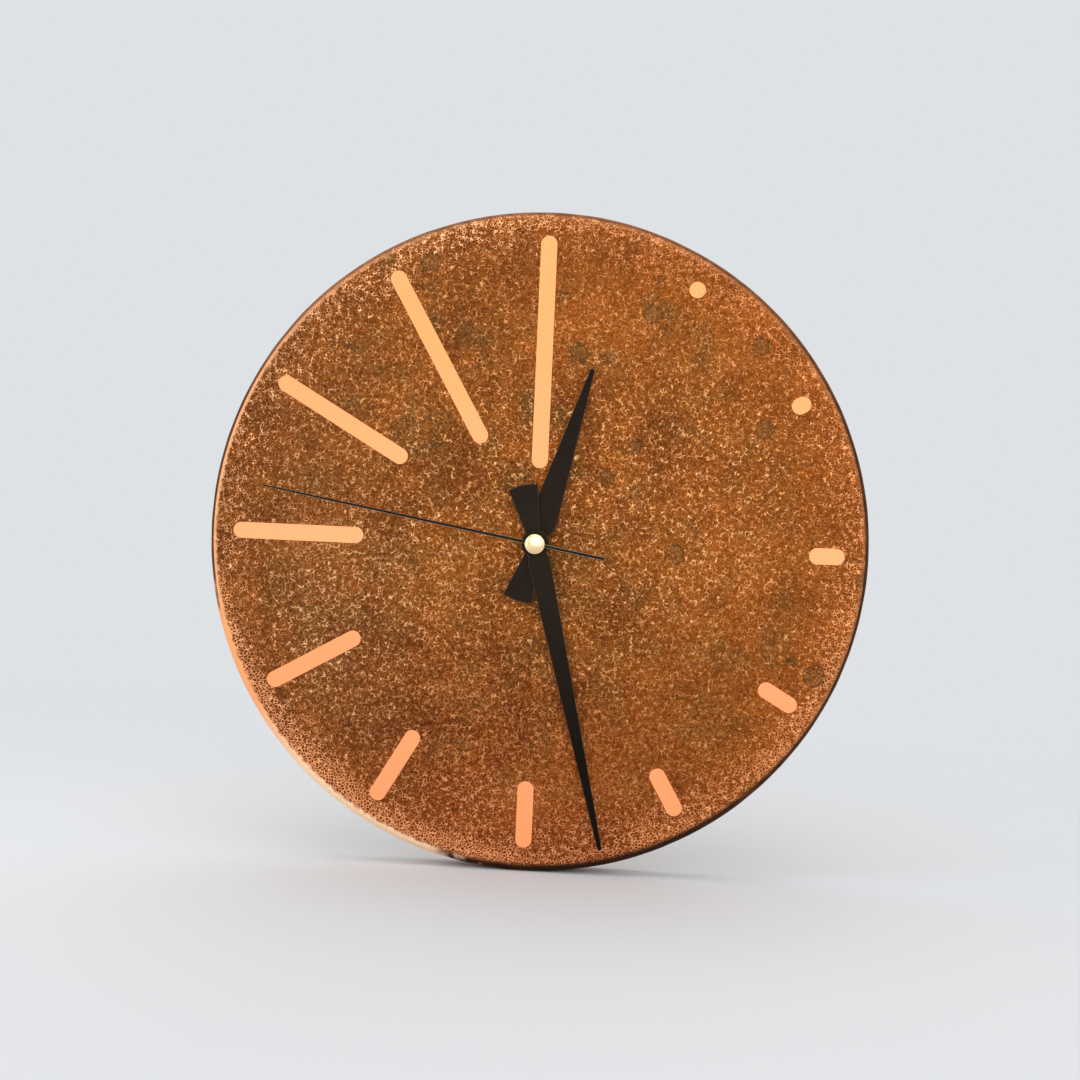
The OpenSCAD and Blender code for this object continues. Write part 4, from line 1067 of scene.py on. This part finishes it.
def turn_arrow(radius, start, end):
    """Outline of a bent double arrow round the knob, as (x, z) points, angles in degrees from +X."""
    angles = [math.radians(start + (end - start) * k / ARROW_STEPS) for k in range(ARROW_STEPS + 1)]
    first, last = angles[0], angles[-1]
    polar = [(radius + STROKE, a) for a in angles]
    polar += [(radius + ARROW_WIDE, last), (radius, last + ARROW_TIP), (radius - ARROW_WIDE, last)]
    polar += [(radius - STROKE, a) for a in reversed(angles)]
    polar += [(radius - ARROW_WIDE, first), (radius, first - ARROW_TIP), (radius + ARROW_WIDE, first)]
    return [(KNOB_MID.x + r * math.cos(a), KNOB_MID.z + r * math.sin(a)) for r, a in polar]


def bar_sign(x, z, along, up):
    """Outline of a level or upright bar with its middle at a place."""
    return [(x - along, z - up), (x + along, z - up), (x + along, z + up), (x - along, z + up)]


SIGN_Z = lid_lo.z + 4.0 * MM
PLUS_X = -20 * MM
outlines = [turn_arrow(KNOB_R + 2.0 * MM, 115, 245)]
outlines += [bar_sign(x, SIGN_Z, 1.8 * MM, STROKE) for x in (PLUS_X, -PLUS_X)]
outlines += [bar_sign(PLUS_X, SIGN_Z + side * 1.1 * MM, STROKE, 0.75 * MM) for side in (1, -1)]
print("signs", len(outlines), "outlines, knob radius", round(KNOB_R / MM, 2), "mm")

# %% [markdown]
# Each outline becomes a closed block: a lower and an upper face and a wall between them. The blocks sink
# a tenth of a millimetre into the lid, so that no gap shows under them. Pale ink makes the signs
# readable.

# %% Signs on the lid
SIGN_RISE = 0.25 * MM
SIGN_SINK = 0.1 * MM
# Pale ink: a matt light grey, a little worn
SIGN = plain_finish("pale ink on raised styrene", "#8E9298", "#A9ADB2", 0.6, 0.0, 0.48, 0.02)
signs = bmesh.new()
for outline in outlines:
    low = [signs.verts.new((x, lid_hi.y - SIGN_SINK, z)) for x, z in outline]
    high = [signs.verts.new((x, lid_hi.y + SIGN_RISE, z)) for x, z in outline]
    signs.faces.new(low)
    signs.faces.new(high)
    for k in range(len(outline)):
        signs.faces.new((low[k - 1], low[k], high[k], high[k - 1]))
bmesh.ops.recalc_face_normals(signs, faces=signs.faces)
sign_mesh = bpy.data.meshes.new("lid_signs")
signs.to_mesh(sign_mesh)
signs.free()
set_piece("lid_signs", sign_mesh, SIGN, "clock_body", "cover_plastic")

# %% [markdown]
# Four rubber pads keep the setting knob off the wall. They are one shape at four places, so a Geometry
# Nodes tree makes one pad, rounds its outer edge by pulling the points in along a quarter circle, and
# sets it on the corners of a square.

# %% Wall pads
PAD_SIZES = ("Radius", "Height", "Ease", "Place radius", "Back", "Axis height")
PAD_TREE, add, size = new_group("wall pads", *PAD_SIZES)
drum = {"Vertices": 48, "Side Segments": 24, "Fill Segments": 4, "Radius": size["Radius"],
        "Depth": size["Height"]}
drum = add("GeometryNodeMeshCylinder", drum, take="Mesh")
where = add("GeometryNodeInputPosition")
level = add("SeparateXYZ", [where], take="Z")
half = add("Math", [size["Height"], 0.5], **TIMES)
start = add("Math", [half, size["Ease"]], operation="SUBTRACT")
climb = add("MapRange", [level, start, half])
square = add("Math", [climb, 2.0], operation="POWER")
cosine = add("Math", [1.0, square], operation="SUBTRACT")
cosine = add("Math", [cosine], operation="SQRT")
pull = add("Math", [cosine, 1.0], operation="SUBTRACT")
share = add("Math", [size["Ease"], size["Radius"]], operation="DIVIDE")
pull = add("Math", [pull, share], **TIMES)
spread = add("VectorMath", [where, (1, 1, 0)], **TIMES)
inward = add("VectorMath", {0: spread, "Scale": pull}, operation="SCALE")
pad = add("GeometryNodeSetPosition", {"Geometry": drum, "Offset": inward})
print("pad shaped in", len(PAD_TREE.nodes), "nodes")

# %% [markdown]
# A circle of four points is a square, and a turn by an eighth sets its corners at the diagonals of the
# board.

# %% Wall pads: four places
PAD_R = 6.0 * MM
PAD_EASE = 1.4 * MM
corners = add("GeometryNodeMeshCircle", {"Vertices": 4, "Radius": size["Place radius"]})
pads = add("GeometryNodeInstanceOnPoints", {"Points": corners, "Instance": pad})
turned = add("GeometryNodeTransform", {"Geometry": pads, "Rotation": (0, 0, math.pi / 4)})
back = add("Math", [half, size["Back"]], operation="ADD")
seat = add("CombineXYZ", {"Y": back, "Z": size["Axis height"]})
facing = {"Geometry": turned, "Translation": seat, "Rotation": (-math.pi / 2, 0, 0)}
end_group(PAD_TREE, add("GeometryNodeTransform", facing), RUBBER)

pad_lo, pad_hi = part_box("wall_bumpers")
pad_at = ((pad_hi.x - pad_lo.x) / 2 - PAD_R) * math.sqrt(2)
sizes = {"Radius": PAD_R, "Height": pad_hi.y - pad_lo.y, "Ease": PAD_EASE, "Place radius": pad_at,
         "Back": pad_lo.y, "Axis height": AXIS_Z}
pads = grown("wall_pads", PAD_TREE, sizes)
set_piece("wall_pads", pads, RUBBER, "clock_body", "soft_rubber", "wall_bumpers")

# %% [markdown]
# Washer, nut and bush are turned from brass bar. Turning leaves rings on a flat end and the thread leaves
# ridges on the bush. Rings follow the distance from the axis and ridges follow the place along it, so
# both can be in one height: on a flat end the ridges are constant, and on the barrel the rings are.

# %% Turned brass
THREAD_MM = 0.75
TURNING_MM = 0.35
# A wave texture repeats every 2 pi / 20 of its own unit
WAVE = math.pi / 10

# Turned brass: a warm yellow metal with fine turning rings, thread ridges and a little tarnish
BRASS, add, shader, place = new_material("turned brass")
centred = add("Mapping", {"Vector": place, "Location": (0, 0, -AXIS_Z)})
ridges = {"Vector": centred, "Scale": WAVE * per_mm(THREAD_MM)}
ridges = add("TexWave", ridges, bands_direction="Y", take="Fac")
rings = {"Vector": centred, "Scale": WAVE * per_mm(TURNING_MM)}
rings = add("TexWave", rings, wave_type="RINGS", rings_direction="Y", take="Fac")
tarnish = add("TexNoise", {"Vector": place, "Scale": per_mm(3), "Detail": 3.0})
colour = add("ValToRGB", [tarnish], stops=[(0.35, "#B98F45"), (0.65, "#E5C27A")])
rough = add("MapRange", [tarnish, 0.0, 1.0, 0.40, 0.22])
height = add("Math", [rings, 0.12, ridges], **TIMES_PLUS)
relief = add("Bump", {"Height": height, "Strength": 0.5, "Distance": 0.15 * MM})
fill(shader, {"Base Color": colour, "Metallic": 1.0, "Roughness": rough, "Normal": relief})
for node, name in (("brass_washer", "turned_washer"), ("hex_nut", "clamping_nut"),
                   ("threaded_bush", "turned_bush")):
    set_piece(name, softened(node, name, 0.12 * MM, BRASS), None, "clock_body", "turned_brass", node)
dress(BRASS, "minute_pipe")

# %% [markdown]
# The cell is a common AA cell: a steel can in a printed film, with a button at one end and a rolled edge
# at the other. The film is plain green with one pale band, and where it stops the bare can shows. One
# finish is enough, split by the place along the cell and by the distance from its axis.

# %% Battery finish
cell_lo, cell_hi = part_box("battery")
CELL_MID = (cell_lo + cell_hi) / 2
CELL_R = (cell_hi.y - cell_lo.y) / 2
CELL_L = cell_hi.x - cell_lo.x

# A satin printed film on a steel can: plain green with a pale band, and bare nickel steel at both ends
FILM, add, shader, place = new_material("printed film on a steel can")
centred = add("Mapping", {"Vector": place, "Location": -CELL_MID})
along = add("SeparateXYZ", [centred], take="X")
across = add("VectorMath", [centred, (0, 1, 1)], **TIMES)
radius = add("VectorMath", [across], take="Value", operation="LENGTH")
share = add("MapRange", [along, -CELL_L / 2, CELL_L / 2])
stops = [(0.0, "#6F7A52"), (0.10, "#C9CBB6"), (0.24, "#55613A"), (0.27, "#6B7750")]
print_band = add("ValToRGB", [share], stops=stops)
print_band.node.color_ramp.interpolation = "CONSTANT"
scuff = add("TexNoise", {"Vector": place, "Scale": per_mm(4), "Detail": 4.0})
film = add("MapRange", [radius, CELL_R - 0.75 * MM, CELL_R - 0.6 * MM])
colour = add("Mix", {0: film, 6: srgb("#C9C8C2"), 7: print_band}, **COLOUR)
wear = add("MapRange", [scuff, 0.0, 1.0, 0.88, 1.08])
colour = add("VectorMath", {0: colour, "Scale": wear}, operation="SCALE")
metal = add("MapRange", [film, 0.0, 1.0, 1.0, 0.35])
rough = add("MapRange", [scuff, 0.0, 1.0, 0.26, 0.42])
fill(shader, {"Base Color": colour, "Metallic": metal, "Roughness": rough})
print("material", FILM.name)

# %% [markdown]
# A turned profile gives the button, the shoulder, the film's shrunk ends and the rolled edge. It is spun
# about Y like the other turned pieces, and then the finished mesh is turned so that it lies along X in
# its bay.

# %% Battery
BUTTON_R = 2.75 * MM
BUTTON_H = 1.0 * MM
BODY_FROM = BUTTON_H + 0.8 * MM

# The half section as (radius, place along the cell). The bare numbers are mm in from the button or the can
button = [(0, 0)] + [(BUTTON_R - r * MM, y * MM) for r, y in ((0.4, 0), (0.12, 0.12), (0, 0.4))]
shoulder = [(BUTTON_R + 0.1 * MM, BUTTON_H)]
shoulder += [(CELL_R - r * MM, BUTTON_H + y * MM)
             for r, y in ((1.9, 0), (1.5, 0.25), (0.9, 0.05), (0.3, 0.2), (0, 0.8))]
body = [(CELL_R, BODY_FROM + (CELL_L - 2.6 * MM) * k / 6) for k in range(1, 7)]
rolled = [(CELL_R - r * MM, CELL_L - y * MM) for r, y in ((0.25, 0.25), (0.9, 0), (1.4, 0.3))]
profile = button + shoulder + body + rolled + [(0, CELL_L - 0.3 * MM)]
cell = spun("dry_cell", profile, 72, middle=(0.0, 0.0))
lying = Matrix.Rotation(-math.pi / 2, 4, "Z")
cell.transform(Matrix.Translation((cell_lo.x, CELL_MID.y, CELL_MID.z)) @ lying)
set_piece("dry_cell", cell, FILM, "battery_group", "cell_jacket", "battery")

# %% [markdown]
# Inside the case is a common quartz movement, which shows only when the case is opened or seen through
# its bay. Its solids are right, so each gets the finish of its real material: natural acetal wheels, a
# nylon bobbin, soft iron, enamelled wire, a green laminate, potting resin and nickel plated strip.

# %% Movement
# Natural acetal: milky white and slightly glossy, as moulded; natural nylon: the same, but yellower
ACETAL = plain_finish("natural acetal", "#DCD8CA", "#EDEADF", 3.0, 0.0, 0.38, 0.01)
NYLON = plain_finish("natural nylon", "#CFC4A4", "#E0D6BA", 3.0, 0.0, 0.42, 0.01)
# Soft iron: dull grey, rolled in one direction; nickel plate: bright, and warmer than zinc
IRON = plain_finish("rolled soft iron", "#7D7F83", "#A2A4A8", 0.8, 1.0, 0.46, 0.02, (1, 1, 0.1))
NICKEL = plain_finish("nickel plated spring strip", "#B9B4A6", "#DAD6CB", 0.9, 1.0, 0.26, 0.01, (0.1, 1, 1))
# Enamelled wire, wound side by side: drawn 0.4 mm thick, because the real 0.05 mm wire wouldn't show
WIRE = plain_finish("enamelled copper wire", "#8C3F17", "#D07C45", 0.4, 0.9, 0.32, 0.08, (1, 0.05, 0.05))
# Laminate under green solder mask, with the weave of its glass cloth faintly showing; glossy potting resin
LAMINATE = plain_finish("glass laminate under green mask", "#1F5B2E", "#3A8048", 0.7, 0.0, 0.30, 0.02)
RESIN = plain_finish("black potting resin", "#0B0B0C", "#171719", 2.0, 0.0, 0.22, 0.03)

dress(ACETAL, "train_plate", "intermediate_wheel", "seconds_wheel", "third_wheel", "centre_wheel",
      "minute_wheel", "hour_wheel", "setting_shaft")
dress(NYLON, "coil_bobbin")
dress(IRON, "rotor", "stator", "coil_core")
dress(WIRE, "coil_winding")
dress(LAMINATE, "circuit_board")
dress(RESIN, "chip")
dress(NICKEL, "quartz_crystal", "positive_contact", "negative_contact")

# %% [markdown]
# The measured boxes are printed, so that the dressing can be compared with the solids.

# %% Sizes and finish
visual_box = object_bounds()
sizes = {"cad": [list(corner) for corner in cad_box], "visual": [list(corner) for corner in visual_box]}
print("cad box", sizes["cad"], "visual box", sizes["visual"])
